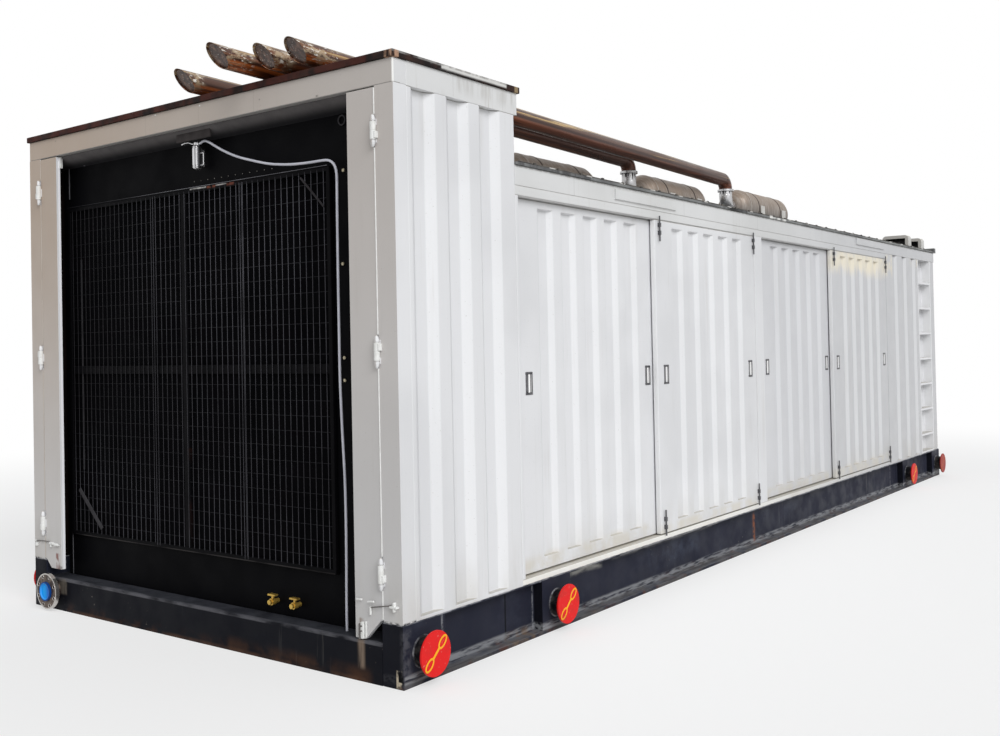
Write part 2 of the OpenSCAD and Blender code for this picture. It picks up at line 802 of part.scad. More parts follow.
module vent_hose() {
    sides = 10;
    n = len(hose_line);
    function heading(i) = let (a = hose_line[max(0, i - 1)], b = hose_line[min(n - 1, i + 1)])
        (b - a) / norm(b - a);
    rings = [for (i = [0 : n - 1]) let (p = hose_line[i], h = heading(i))
        for (k = [0 : sides - 1]) let (a = 360 * k / sides)
            [hose_x + hose_r * cos(a), p[0] - h[1] * hose_r * sin(a), p[1] + h[0] * hose_r * sin(a)]];
    walls = [for (i = [0 : n - 2], k = [0 : sides - 1]) let (m = (k + 1) % sides)
        [i * sides + k, i * sides + m, (i + 1) * sides + m, (i + 1) * sides + k]];
    ends = [[for (k = [sides - 1 : -1 : 0]) k], [for (k = [0 : sides - 1]) (n - 1) * sides + k]];
    color("#d9dadd") polyhedron(rings, concat(walls, ends));
}

// ---- exhaust ----

// The frame of one pipe's run: its foot is the middle of the mouth and +Z leads to the rear
module along_run(i) {
    translate([x_front + mouth_x[i], pipe_y[i], run_z(mouth_x[i])]) rotate([0, 90 + exhaust_slope, 0])
        children();
}

// Where the slanted plane of a mouth lies along the run, by the height below the pipe's axis
function mouth_at(x) = mouth_slant * (x + exhaust_r) / (2 * exhaust_r);

// A slab parallel to a mouth's plane, between two distances behind it
module slant_slab(from, to) {
    e = exhaust_r + 8;
    translate([0, e, 0]) rotate([90, 0, 0]) linear_extrude(2 * e)
        polygon([[e, mouth_at(e) + from], [e, mouth_at(e) + to], [-e, mouth_at(-e) + to], [-e, mouth_at(-e) + from]]);
}

module exhaust_run(i) {
    along_run(i) difference() {
        cylinder(r = exhaust_r, h = run_len(i));
        translate([0, 0, -join]) cylinder(r = exhaust_r - exhaust_wall, h = mouth_slant + 60);
        slant_slab(-300, 0);
    }
}

module exhaust_pipes() { color("#8a6a58") for (i = [0 : 3]) exhaust_run(i); }

// The film that closes a pipe's mouth, a little inside it
module mouth_covers() {
    color("#8f8d8b") for (i = [0 : 3]) along_run(i) intersection() {
        cylinder(r = exhaust_r - exhaust_wall, h = mouth_slant + 60);
        slant_slab(12, 16);
    }
}

// The bend from a run down to its silencer's neck, with the ring that clamps it
module exhaust_bends() {
    color("#8a6a58") for (i = [0 : 3]) {
        z = bend_z(i);
        translate([x_front + turn_x[i] - bend_r, pipe_y[i], z]) rotate([90, 0, 0])
            rotate_extrude(angle = 90 - exhaust_slope) translate([bend_r, 0]) circle(r = exhaust_r);
        translate([x_front + turn_x[i], pipe_y[i], z - ring_h]) cylinder(r = exhaust_r + 11, h = ring_h);
    }
}

module silencers() {
    color("#a9aaab") for (i = [0 : 3])
        translate([shell_x(i), pipe_y[i], silencer_z]) rotate([0, 90, 0]) rotate_extrude() polygon([
            [0, 0], [70, 8], [110, 32], [138, 68], [silencer_r, 108],
            [silencer_r, silencer_len - 108], [138, silencer_len - 68], [110, silencer_len - 32],
            [70, silencer_len - 8], [0, silencer_len]
        ]);
}

// A silencer's neck, which bends into its front end
module silencer_necks() {
    color("#b9babb") for (i = [0 : 3]) {
        x = x_front + turn_x[i];
        z = silencer_z + neck_bend;
        translate([x, pipe_y[i], z]) cylinder(r = exhaust_r, h = bend_z(i) - ring_h - gasket - z);
        translate([x + neck_bend, pipe_y[i], z]) rotate([-90, 0, 0])
            rotate_extrude(angle = 90, start = 90) translate([neck_bend, 0]) circle(r = exhaust_r);
    }
}

// A saddle under a silencer, with a round seat that fits the shell
module silencer_saddles() {
    color("#b4b5b7") for (i = [0 : 3], u = saddle_at) {
        x = x_front + turn_x[i] + u;
        difference() {
            span([x, pipe_y[i] - 110, main_roof_top], [x + saddle_w, pipe_y[i] + 110, silencer_z - 70]);
            translate([x - join, pipe_y[i], silencer_z]) rotate([0, 90, 0])
                cylinder(r = silencer_r, h = saddle_w + 2 * join);
        }
    }
}

// ---- roof hoods ----

// A rain hood with rounded shoulders, open to the front
module roof_hood(x) {
    translate([x, y_near + hood_side, main_roof_top]) difference() {
        rotate([90, 0, 90]) linear_extrude(hood_len) union() {
            square([hood_w, hood_h - hood_r]);
            translate([hood_r, 0]) square([hood_w - 2 * hood_r, hood_h]);
            for (u = [hood_r, hood_w - hood_r]) translate([u, hood_h - hood_r]) circle(r = hood_r);
        }
        span([-join, hood_rim, hood_sheet], [hood_len - hood_sheet, hood_w - hood_rim, hood_h - hood_rim]);
    }
}

module roof_hoods() {
    last = x_rear - hood_end;
    color("#d5d3cd") for (x = [last - hood_pitch, last]) roof_hood(x);
}

// ---- assembly ----

skid_side_beams();
skid_end_beams();
skid_cross_members();
floor_deck();
lifting_trunnions();
trunnion_discs();
gas_inlet_flange();
inlet_cap();
corner_posts();
end_flaps();
tall_header_front();
tall_header_sides();
tall_roof();
tall_walls();
step_wall();
side_headers();
door_rails();
door_sills();
door_posts();
rear_panels();
ladder_bays();
ladder_steps();
rear_corner_posts();
rear_wall();
main_roof();
radiator_frame();
radiator_core();
fan_guard();
drain_valves();
vent_bottle();
vent_hose();
exhaust_pipes();
exhaust_bends();
mouth_covers();
silencers();
silencer_necks();
silencer_saddles();
roof_hoods();
near_door_1();
near_door_2();
near_door_3();
near_door_4();
far_door_1();
far_door_2();
far_door_3();
far_door_4();
near_pulls_1();
near_pulls_2();
near_pulls_3();
near_pulls_4();
far_pulls_1();
far_pulls_2();
far_pulls_3();
far_pulls_4();
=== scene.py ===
"""Looks of a containerised gas generator set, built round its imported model.

The set stands on a dark skid. Its enclosure is ribbed white sheet with sliding doors in its sides, a
radiator in its tall end and four silencers on its roof. Every size is in metres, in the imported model's
frame: X runs along the set from the radiator end to the rear, -Y is the near side and Z is up.
"""

from __future__ import annotations

import json
import logging
import math
from collections.abc import Iterable, Sequence
from dataclasses import dataclass
from enum import Enum

import bmesh
import bpy
from mathutils import Matrix, Vector

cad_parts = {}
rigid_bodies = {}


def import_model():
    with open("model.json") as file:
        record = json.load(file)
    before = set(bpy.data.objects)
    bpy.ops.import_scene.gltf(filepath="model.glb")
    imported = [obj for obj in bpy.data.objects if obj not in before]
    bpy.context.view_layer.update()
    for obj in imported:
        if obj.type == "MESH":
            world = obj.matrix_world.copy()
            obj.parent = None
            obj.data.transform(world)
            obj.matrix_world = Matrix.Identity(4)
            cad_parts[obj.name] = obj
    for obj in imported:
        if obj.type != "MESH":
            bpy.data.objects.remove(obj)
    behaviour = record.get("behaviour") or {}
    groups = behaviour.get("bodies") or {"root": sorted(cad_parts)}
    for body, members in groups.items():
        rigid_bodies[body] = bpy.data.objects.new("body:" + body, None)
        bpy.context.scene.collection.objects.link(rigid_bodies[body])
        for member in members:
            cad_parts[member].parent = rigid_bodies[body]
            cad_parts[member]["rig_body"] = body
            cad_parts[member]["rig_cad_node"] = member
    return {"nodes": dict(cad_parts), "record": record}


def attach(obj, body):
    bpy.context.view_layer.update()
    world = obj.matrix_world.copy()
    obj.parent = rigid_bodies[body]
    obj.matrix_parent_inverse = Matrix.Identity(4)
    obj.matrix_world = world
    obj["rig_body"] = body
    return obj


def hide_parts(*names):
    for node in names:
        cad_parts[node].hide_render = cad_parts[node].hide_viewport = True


log = logging.getLogger("generator_set")

Point = tuple[float, float, float]
Rgb = tuple[float, float, float]
Socket = bpy.types.NodeSocket
Value = float | Socket
BASE = "base"
PIPE_ROWS = (-0.930, -0.736, -0.570, -0.067)
PIPE_END = -4.45
PIPE_HEIGHT = 2.944
PIPE_SLOPE = math.tan(math.radians(1.0))


def linear(rgb: Rgb) -> tuple[float, float, float, float]:
    """Turns a display colour into the linear one that shaders work in.

    Args:
        rgb: Red, green and blue from 0 to 255.

    Returns:
        Linear red, green, blue and an alpha of 1.
    """
    shares = (c / 255 for c in rgb)
    return (*(s / 12.92 if s <= 0.04045 else ((s + 0.055) / 1.055) ** 2.4 for s in shares), 1.0)


def around(count: int) -> list[float]:
    """Returns the angles of one full turn, from nought round to nought again."""
    return [math.tau * k / count for k in range(count + 1)]


class Axis(Enum):
    """The directions that a turned or straight piece can point in."""

    X = Vector((1, 0, 0))
    Z = Vector((0, 0, 1))
    BACK_X = Vector((-1, 0, 0))
    BACK_Y = Vector((0, -1, 0))


# ---------------------------------------------------------------- finishes


class Graph:
    """A material under construction, with one method for each kind of step."""

    def __init__(self, name: str) -> None:
        """Starts an empty material with the object's own coordinates."""
        self.material = bpy.data.materials.new(name)
        self.material.use_nodes = True
        self.tree = self.material.node_tree
        self.tree.nodes.clear()
        self.place: Socket = self.add("ShaderNodeTexCoord").outputs["Object"]
        self.x, self.y, self.z = self.add("ShaderNodeSeparateXYZ", Vector=self.place).outputs

    def add(self, kind: str, settings: dict[str, object] | None = None, **inputs: object) -> bpy.types.Node:
        """Adds a node.

        Args:
            kind: The node's type.
            settings: Properties set on the node.
            **inputs: Values or sockets by input name, with _ for a space.

        Returns:
            The new node.
        """
        node = self.tree.nodes.new(kind)
        for key, value in (settings or {}).items():
            setattr(node, key, value)
        for key, value in inputs.items():
            self.feed(node.inputs[key.replace("_", " ")], value)
        return node

    def feed(self, socket: Socket, value: object) -> None:
        """Links a socket to an input, or sets the input; a colour is given as 0 to 255."""
        if isinstance(value, bpy.types.NodeSocket):
            self.tree.links.new(value, socket)
        elif socket.type == "RGBA":
            socket.default_value = linear(value)
        else:
            socket.default_value = value

    def math(self, operation: str, a: Value, b: Value = 0.0, clamp: bool = False) -> Socket:
        """Combines two numbers with a Math node."""
        node = self.add("ShaderNodeMath", {"operation": operation, "use_clamp": clamp})
        self.feed(node.inputs[0], a)
        self.feed(node.inputs[1], b)
        return node.outputs[0]

    def times(self, *values: Value) -> Socket:
        """Multiplies two or more numbers."""
        result = values[0]
        for value in values[1:]:
            result = self.math("MULTIPLY", result, value)
        return result

    def mix(self, share: Value, a: Rgb | Socket, b: Rgb | Socket) -> Socket:
        """Mixes colour b over colour a."""
        node = self.add("ShaderNodeMix", {"data_type": "RGBA"})
        for index, value in ((0, share), (6, a), (7, b)):
            self.feed(node.inputs[index], value)
        return node.outputs[2]

    def noise(self, scale: float, detail: float = 3.0, stretch: Point = (1, 1, 1), shift: Point = (0, 0, 0),
              roughness: float = 0.55) -> Socket:
        """Returns fractal noise from about 0.25 to 0.75.

        Args:
            scale: How many features fit in a metre, about.
            detail: How many finer layers are added.
            stretch: Scale along each axis; a small number draws the pattern out.
            shift: Moves the pattern, so that two of them differ.
            roughness: How strong the finer layers are.

        Returns:
            The noise value.
        """
        place = self.add("ShaderNodeMapping", Vector=self.place, Scale=stretch, Location=shift).outputs[0]
        noise = self.add("ShaderNodeTexNoise", Vector=place, Scale=scale, Detail=detail, Roughness=roughness)
        return noise.outputs[0]

    def ramp(self, value: Value, low: float, high: float, start: float = 0.0, end: float = 1.0) -> Socket:
        """Rises smoothly from start to end while value goes from low to high."""
        node = self.add("ShaderNodeMapRange", {"interpolation_type": "SMOOTHSTEP"})
        for index, number in enumerate((value, low, high, start, end)):
            self.feed(node.inputs[index], number)
        return node.outputs[0]

    def band(self, value: Value, low: float, high: float, soft: float = 0.01) -> Socket:
        """Returns 1 while value lies between low and high, and 0 outside."""
        rise = self.ramp(value, low - soft, low + soft)
        return self.times(rise, self.ramp(value, high - soft, high + soft, 1.0, 0.0))

    def box(self, low: Point, high: Point, soft: float = 0.02) -> Socket:
        """Returns 1 inside a box and 0 outside."""
        return self.times(*(self.band(v, a, b, soft) for v, a, b in zip((self.x, self.y, self.z), low, high)))

    def distance(self, a: Value, b: Value) -> Socket:
        """Returns the length of a step of a along one axis and b along another."""
        squares = self.math("ADD", self.math("POWER", a, 2.0), self.math("POWER", b, 2.0))
        return self.math("POWER", squares, 0.5)

    def facing(self, axis: Axis, low: float = 0.5, high: float = 0.8) -> Socket:
        """Returns 1 on faces whose normal points along an axis."""
        normal = self.add("ShaderNodeNewGeometry").outputs["Normal"]
        dot = self.add("ShaderNodeVectorMath", {"operation": "DOT_PRODUCT"})
        self.feed(dot.inputs[0], normal)
        self.feed(dot.inputs[1], tuple(axis.value))
        return self.ramp(dot.outputs["Value"], low, high)

    def bump(self, height: Value, distance: float, strength: float = 1.0,
             under: Socket | None = None) -> Socket:
        """Turns a height into a normal, on top of another normal."""
        node = self.add("ShaderNodeBump", Height=height, Distance=distance, Strength=strength)
        if under is not None:
            self.feed(node.inputs["Normal"], under)
        return node.outputs[0]

    def surface(self, colour: Rgb | Socket, roughness: Value, metallic: Value = 0.0,
                normal: Socket | None = None, **fixed: float) -> bpy.types.Material:
        """Ends the material with its shader.

        Args:
            colour: Base colour.
            roughness: Roughness.
            metallic: Share of metal.
            normal: Normal from bump steps.
            **fixed: Other inputs of the shader, with _ for a space.

        Returns:
            The finished material.
        """
        shader = self.add("ShaderNodeBsdfPrincipled", None, Base_Color=colour, Roughness=roughness,
                          Metallic=metallic, **fixed)
        if normal is not None:
            self.feed(shader.inputs["Normal"], normal)
        self.add("ShaderNodeOutputMaterial", Surface=shader.outputs[0])
        return self.material


@dataclass(frozen=True)
class Patch:
    """A stained or scuffed place: its box, colour, strength, soft edge and grain, where 0 is solid."""

    low: Point
    high: Point
    colour: Rgb
    strength: float = 0.5
    soft: float = 0.03
    grain: float = 12.0
    stretch: Point = (1, 1, 1)

    def lay(self, graph: Graph, under: Socket) -> Socket:
        """Lays the stain over a colour."""
        share = graph.times(graph.box(self.low, self.high, self.soft), self.strength)
        if self.grain:
            speckle = graph.ramp(graph.noise(self.grain, 4.0, self.stretch, self.low), 0.36, 0.60)
            share = graph.times(share, speckle)
        return graph.mix(share, under, self.colour)


def seams(places: Sequence[float], low: Point, high: Point, colour: Rgb,
          strength: float) -> tuple[Patch, ...]:
    """Returns thin dark lines at several places along the box's one axis that is left empty."""
    half, soft = 0.0015, 0.0012
    axis = [a == b for a, b in zip(low, high)].index(True)
    lines = []
    for at in places:
        a, b = list(low), list(high)
        a[axis], b[axis] = at - half, at + half
        lines.append(Patch(tuple(a), tuple(b), colour, strength, soft, 0.0))
    return tuple(lines)


@dataclass(frozen=True)
class SheetPaint:
    """White enamel on folded sheet: rain streaks, a dusty foot, stained places and a slight waviness.

    Painted shade makes it darker towards the rear, where the light falls off. By default the faces that look
    to the front get painted shade, with warm painted light towards their top; rib flanks get painted light
    and shade.
    """

    name: str
    base: Rgb = (228, 229, 232)
    tone: Rgb = (219, 220, 223)
    streak: Rgb = (176, 172, 164)
    streak_share: float = 0.22
    foot: float = 0.3
    patches: tuple[Patch, ...] = ()
    roughness: float = 0.45
    wave: float = 0.004
    # The fields from here on set painted shade towards the rear and painted light and shade on front faces
    # and rib flanks.
    dull: float = 1.0
    front_light: Rgb = (186, 170, 156)
    shade: Rgb = (186, 184, 182)
    share: float = 1.0
    flank_shading: float = 0.28

    def make(self) -> bpy.types.Material:
        """Builds the material."""
        g = Graph(self.name)
        colour = g.mix(g.ramp(g.noise(0.9, 3.0), 0.40, 0.62), self.base, self.tone)
        # Painted shade: darker towards the rear, where the light falls off.
        colour = g.mix(g.ramp(g.x, -2.0, 3.0, 0.0, self.dull), colour, (193, 194, 197))
        height = g.ramp(g.z, 0.2, 2.6, 0.15, 1.0)
        width = g.ramp(g.y, -1.6, 1.5, 0.42, 1.0)
        # Painted light and shade on faces that look to the front: one colour over all of them, a second
        # towards the top and the near side.
        front = g.facing(Axis.BACK_X, 0.85, 0.95)
        colour = g.mix(g.times(front, 0.35, self.share), colour, self.shade)
        colour = g.mix(g.times(front, height, width, self.share), colour, self.front_light)
        # Painted light and shade on rib flanks: lighter where they lean to the front, darker where they lean
        # to the rear.
        slope = g.facing(Axis.BACK_X, 0.15, 0.5)
        colour = g.mix(g.times(slope, g.math("SUBTRACT", 1.0, front), self.flank_shading), colour, (252, 253, 255))
        other = g.facing(Axis.X, 0.15, 0.5)
        colour = g.mix(g.times(other, self.flank_shading), colour, (198, 199, 204))
        streaks = g.ramp(g.noise(14.0, 4.0, (1, 1, 0.05), (3, 1, 0)), 0.55, 0.78)
        thin = g.ramp(g.noise(55.0, 2.0, (1, 1, 0.03)), 0.60, 0.80)
        breaks = g.ramp(g.noise(1.6, 3.0, shift=(7, 2, 4)), 0.42, 0.62)
        colour = g.mix(g.times(streaks, breaks, self.streak_share), colour, self.streak)
        colour = g.mix(g.times(thin, breaks, self.streak_share * 0.8), colour, self.streak)
        low = g.ramp(g.z, 0.28, 0.62, 1.0, 0.0)
        dust = g.times(low, g.ramp(g.noise(5.0, 5.0, (1, 1, 0.3)), 0.38, 0.66), self.foot)
        colour = g.mix(dust, colour, (178, 172, 158))
        colour = g.mix(g.times(g.facing(Axis.Z, 0.3, 0.7), 0.75), colour, (176, 171, 160))
        specks = g.ramp(g.noise(120.0, 1.0), 0.72, 0.80)
        colour = g.mix(g.times(specks, 0.35), colour, (128, 120, 110))
        for patch in self.patches:
            colour = patch.lay(g, colour)
        normal = g.bump(g.noise(1.7, 1.0), self.wave)
        normal = g.bump(g.noise(420.0, 1.0), 0.0001, 0.5, normal)
        rough = g.ramp(g.noise(6.0, 4.0), 0.3, 0.7, self.roughness - 0.06, self.roughness + 0.14)
        return g.surface(colour, rough, normal=normal, Specular_IOR_Level=0.3)


@dataclass(frozen=True)
class SkidPaint:
    """Navy enamel on heavy steel, with road dust on its ledges, scuffs and rust at its edges, and painted
    shade on front faces.
    """

    name: str
    base: Rgb = (38, 40, 52)
    film: Rgb = (48, 50, 63)
    end: Rgb = (20, 21, 27)
    dust: Rgb = (96, 98, 106)
    rust: Rgb = (104, 66, 44)
    specular: float = 0.05
    roughness: float = 0.42
    dust_share: float = 0.75
    rust_share: float = 0.5
    patches: tuple[Patch, ...] = ()

    def make(self) -> bpy.types.Material:
        """Builds the material."""
        g = Graph(self.name)
        film = g.ramp(g.noise(2.2, 5.0, (1, 1, 0.8)), 0.40, 0.70)
        colour = g.mix(g.times(film, 0.55), self.base, self.film)
        clouds = g.ramp(g.noise(6.0, 6.0, (0.6, 1, 1), (2, 5, 1)), 0.56, 0.74)
        colour = g.mix(g.times(clouds, 0.16), colour, (80, 86, 102))
        ledge = g.times(g.facing(Axis.Z), g.ramp(g.noise(9.0, 5.0), 0.28, 0.60, 0.45, 1.0))
        colour = g.mix(g.times(ledge, self.dust_share), colour, self.dust)
        # Painted shade: faces that look to the front are painted darker.
        colour = g.mix(g.times(g.facing(Axis.BACK_X), 0.9), colour, self.end)
        drips = g.ramp(g.noise(30.0, 3.0, (1, 1, 0.08)), 0.60, 0.78)
        drips = g.times(drips, g.ramp(g.noise(1.3, 2.0), 0.45, 0.65))
        colour = g.mix(g.times(drips, 0.28), colour, (118, 116, 114))
        low = g.times(g.ramp(g.z, 0.0, 0.075, 1.0, 0.0), g.ramp(g.noise(11.0, 6.0), 0.50, 0.68))
        colour = g.mix(g.times(low, self.rust_share), colour, self.rust)
        chips = g.ramp(g.noise(46.0, 4.0), 0.69, 0.74)
        chips = g.times(chips, g.ramp(g.noise(2.0, 2.0, shift=(4, 4, 4)), 0.5, 0.62))
        colour = g.mix(g.times(chips, 0.8), colour, (132, 124, 116))
        for patch in self.patches:
            colour = patch.lay(g, colour)
        normal = g.bump(g.noise(3.0, 2.0), 0.003)
        normal = g.bump(g.noise(160.0, 3.0), 0.0003, 0.6, normal)
        rough = g.ramp(g.noise(7.0, 5.0), 0.3, 0.7, self.roughness - 0.08, self.roughness + 0.22)
        return g.surface(colour, rough, normal=normal, Specular_IOR_Level=self.specular)


@dataclass(frozen=True)
class DiscPaint:
    """Red and yellow enamel of the lifting marks, weathered and painted darker towards brown at the rear,
    partly as painted shade.
    """

    name: str
    base: Rgb
    dull: Rgb

    def make(self) -> bpy.types.Material:
        """Builds the material."""
        g = Graph(self.name)
        # Towards the rear: partly weathering, partly painted shade.
        rear = g.ramp(g.x, 2.5, 4.6, 0.0, 1.0)
        colour = g.mix(rear, self.base, self.dull)
        colour = g.mix(g.times(g.ramp(g.noise(16.0, 4.0), 0.50, 0.70), 0.3), colour, self.dull)
        colour = g.mix(g.times(g.ramp(g.noise(70.0, 3.0), 0.64, 0.74), 0.5), colour, (206, 150, 140))
        return g.surface(colour, 0.5, normal=g.bump(g.noise(90.0, 2.0), 0.0002), Specular_IOR_Level=0.15)


@dataclass(frozen=True)
class PlainFinish:
    """One finish with mottling between two colours, fine grain and a uniform gloss."""

    name: str
    base: Rgb
    mottle: Rgb
    roughness: float = 0.5
    metallic: float = 0.0
    specular: float = 0.5
    scale: float = 12.0
    stretch: Point = (1, 1, 1)
    share: float = 0.5
    bump: float = 0.0002
    grain: float = 220.0
    patches: tuple[Patch, ...] = ()

    def make(self) -> bpy.types.Material:
        """Builds the material."""
        g = Graph(self.name)
        mottle = g.ramp(g.noise(self.scale, 5.0, self.stretch), 0.40, 0.66)
        colour = g.mix(g.times(mottle, self.share), self.base, self.mottle)
        for patch in self.patches:
            colour = patch.lay(g, colour)
        normal = g.bump(g.noise(self.grain, 2.0, self.stretch), self.bump)
        gloss = g.noise(self.scale * 1.7, 4.0, self.stretch)
        rough = g.ramp(gloss, 0.3, 0.7, max(0.04, self.roughness - 0.06), self.roughness + 0.1)
        return g.surface(colour, rough, self.metallic, normal, Specular_IOR_Level=self.specular)


@dataclass(frozen=True)
class CopperPipe:
    """Steel exhaust pipe heated brown, with light and dark lines along it and painted reflections and
    highlights round it.

    It is orange by its mouth, which clear film covers as far as film_ends on the four pipes.
    """

    name: str
    radius: float = 0.054
    film_ends: tuple[float, ...] = (-4.26, -4.38, -4.50, -4.40)

    def make(self) -> bpy.types.Material:
        """Builds the material."""
        g = Graph(self.name)
        axis_z = g.math("SUBTRACT", PIPE_HEIGHT, g.times(g.math("SUBTRACT", g.x, PIPE_END), PIPE_SLOPE))
        above = g.times(g.math("SUBTRACT", g.z, axis_z), 1 / self.radius)
        mouth = g.ramp(g.x, -4.0, -2.2, 1.0, 0.0)
        lines = g.noise(34.0, 4.0, (0.02, 1, 1))
        # Painted reflection: the underside is painted brighter than the top, as the ground seen in the pipe.
        below = g.mix(mouth, (112, 66, 48), (186, 98, 44))
        over = g.mix(mouth, (92, 66, 54), (112, 70, 46))
        colour = g.mix(g.ramp(above, -0.55, -0.05), below, over)
        # Painted reflections and a painted gold highlight line, in bands at set heights round the axis.
        colour = g.mix(g.times(g.band(above, -0.30, 0.02, 0.10), 0.85), colour, (48, 24, 20))
        colour = g.mix(g.times(g.band(above, 0.50, 0.66, 0.06), 0.8), colour, (58, 38, 30))
        colour = g.mix(g.times(g.band(above, 0.74, 0.82, 0.03), 0.8), colour, (206, 168, 104))
        colour = g.mix(g.times(g.ramp(above, 0.86, 0.98), 0.55), colour, (124, 96, 80))
        colour = g.mix(g.times(g.ramp(lines, 0.47, 0.52), 0.7), colour, (62, 36, 28))
        # Painted highlights: fine gold lines on the upper part.
        fine = g.ramp(g.noise(70.0, 3.0, (0.012, 1, 1), (2, 0, 0)), 0.58, 0.64)
        colour = g.mix(g.times(fine, g.ramp(above, -0.2, 0.4), 0.9), colour, (204, 172, 118))
        blotch = g.ramp(g.noise(3.0, 4.0, (0.5, 1, 1)), 0.50, 0.70)
        colour = g.mix(g.times(blotch, 0.3), colour, (104, 84, 74))
        turn = g.ramp(g.math("SUBTRACT", axis_z, g.z), self.radius + 0.002, self.radius + 0.03)
        colour = g.mix(g.times(turn, 0.85), colour, (78, 46, 36))
        wrap: Value = 0.0
        for row, end in zip(PIPE_ROWS, self.film_ends):
            beside = g.band(g.y, row - 0.06, row + 0.06, 0.004)
            place = g.times(beside, g.ramp(g.x, end - 0.03, end + 0.03, 1.0, 0.0))
            wrap = g.math("MAXIMUM", wrap, place)
        crease = g.noise(26.0, 6.0, (0.5, 1, 1), (1, 2, 3), 0.7)
        wrap = g.times(wrap, g.ramp(above, -1.0, 0.1, 0.5, 1.0))
        colour = g.mix(g.times(wrap, g.ramp(crease, 0.46, 0.60), 0.8), colour, (190, 168, 138))
        glints = g.ramp(g.noise(90.0, 4.0, (0.35, 1, 1), (5, 1, 2)), 0.58, 0.66)
        colour = g.mix(g.times(wrap, glints, 0.9), colour, (250, 246, 238))
        normal = g.bump(g.times(crease, wrap), 0.006, 1.0, g.bump(lines, 0.0010))
        rough = g.ramp(g.noise(9.0, 4.0, (0.3, 1, 1)), 0.3, 0.7, 0.24, 0.42)
        return g.surface(colour, rough, 0.35, normal)


@dataclass(frozen=True)
class BrushedSteel:
    """Stainless shell of a silencer, brushed round its length, with tan stains and grey undersides."""

    name: str
    top: Rgb = (138, 122, 108)
    low: Rgb = (124, 120, 118)
    middle: float = 2.65

    def make(self) -> bpy.types.Material:
        """Builds the material."""
        g = Graph(self.name)
        rise = g.ramp(g.z, self.middle - 0.13, self.middle + 0.12)
        colour = g.mix(rise, self.low, self.top)
        brush = g.noise(95.0, 4.0, (1, 0.12, 0.12))
        colour = g.mix(g.times(g.ramp(brush, 0.40, 0.66), 0.30), colour, (200, 196, 190))
        stain = g.times(g.ramp(g.noise(4.0, 5.0), 0.50, 0.68), 0.40)
        colour = g.mix(stain, colour, (150, 130, 112))
        colour = g.mix(g.times(g.ramp(g.y, -0.35, -0.2), 0.6), colour, (150, 128, 110))
        normal = g.bump(brush, 0.0006)
        rough = g.ramp(g.noise(8.0, 4.0), 0.3, 0.7, 0.46, 0.62)
        return g.surface(colour, rough, 0.35, normal)


@dataclass(frozen=True)
class GuardWire:
    """Wires of the fan guard, with painted light that makes them brighter towards the lower right."""

    name: str
    dark: Rgb = (30, 29, 32)
    bright: Rgb = (84, 84, 90)

    def make(self) -> bpy.types.Material:
        """Builds the material."""
        g = Graph(self.name)
        # Painted light: brighter towards the near side, most of all high up, and along the bottom.
        share = g.times(g.ramp(g.y, 1.0, -0.2), g.ramp(g.z, 1.3, 2.3, 0.45, 1.0))
        low = g.times(g.ramp(g.z, 1.3, 0.6), 0.55)
        level = g.math("MAXIMUM", share, low)
        colour = g.mix(level, self.dark, self.bright)
        colour = g.mix(g.times(g.ramp(g.noise(3.0, 3.0), 0.42, 0.62), 0.5), colour, self.dark)
        return g.surface(colour, 0.55, 0.2, g.bump(g.noise(90.0, 2.0), 0.0003), Specular_IOR_Level=0.15)


@dataclass(frozen=True)
class CrinkledFilm:
    """Clear film that has gone brown, wrinkled where it is tied over a pipe's mouth."""

    name: str
    dark: Rgb = (56, 36, 28)
    light: Rgb = (126, 96, 80)
    low: float = 0.46
    high: float = 0.66

    def make(self) -> bpy.types.Material:
        """Builds the material."""
        g = Graph(self.name)
        folds = g.noise(38.0, 6.0, (1, 1, 0.6), roughness=0.72)
        colour = g.mix(g.ramp(folds, self.low, self.high), self.dark, self.light)
        colour = g.mix(g.times(g.ramp(g.noise(60.0, 3.0), 0.5, 0.6), 0.5), colour, (96, 66, 56))
        glints = g.ramp(g.noise(120.0, 4.0, (1, 1, 0.5), (3, 3, 1)), 0.63, 0.69)
        colour = g.mix(g.times(glints, 0.85), colour, (232, 224, 218))
        return g.surface(colour, 0.3, 0.0, g.bump(folds, 0.004), Coat_Weight=0.2)


@dataclass(frozen=True)
class FlangeSteel:
    """Dark oxidised face of a flange inside a polished rim."""

    name: str
    centre: tuple[float, float]
    rim: float

    def make(self) -> bpy.types.Material:
        """Builds the material."""
        g = Graph(self.name)
        across, up = (g.math("SUBTRACT", v, c) for v, c in zip((g.y, g.z), self.centre))
        radius = g.distance(across, up)
        colour = g.mix(g.ramp(g.noise(40.0, 5.0), 0.40, 0.64), (58, 48, 44), (112, 98, 88))
        bright = g.ramp(radius, self.rim - 0.010, self.rim - 0.004)
        colour = g.mix(bright, colour, (198, 194, 190))
        rough = g.math("SUBTRACT", 0.55, g.times(bright, 0.33))
        metal = g.math("ADD", 0.4, g.times(bright, 0.5))
        return g.surface(colour, rough, metal, g.bump(g.noise(120.0, 3.0), 0.0003))


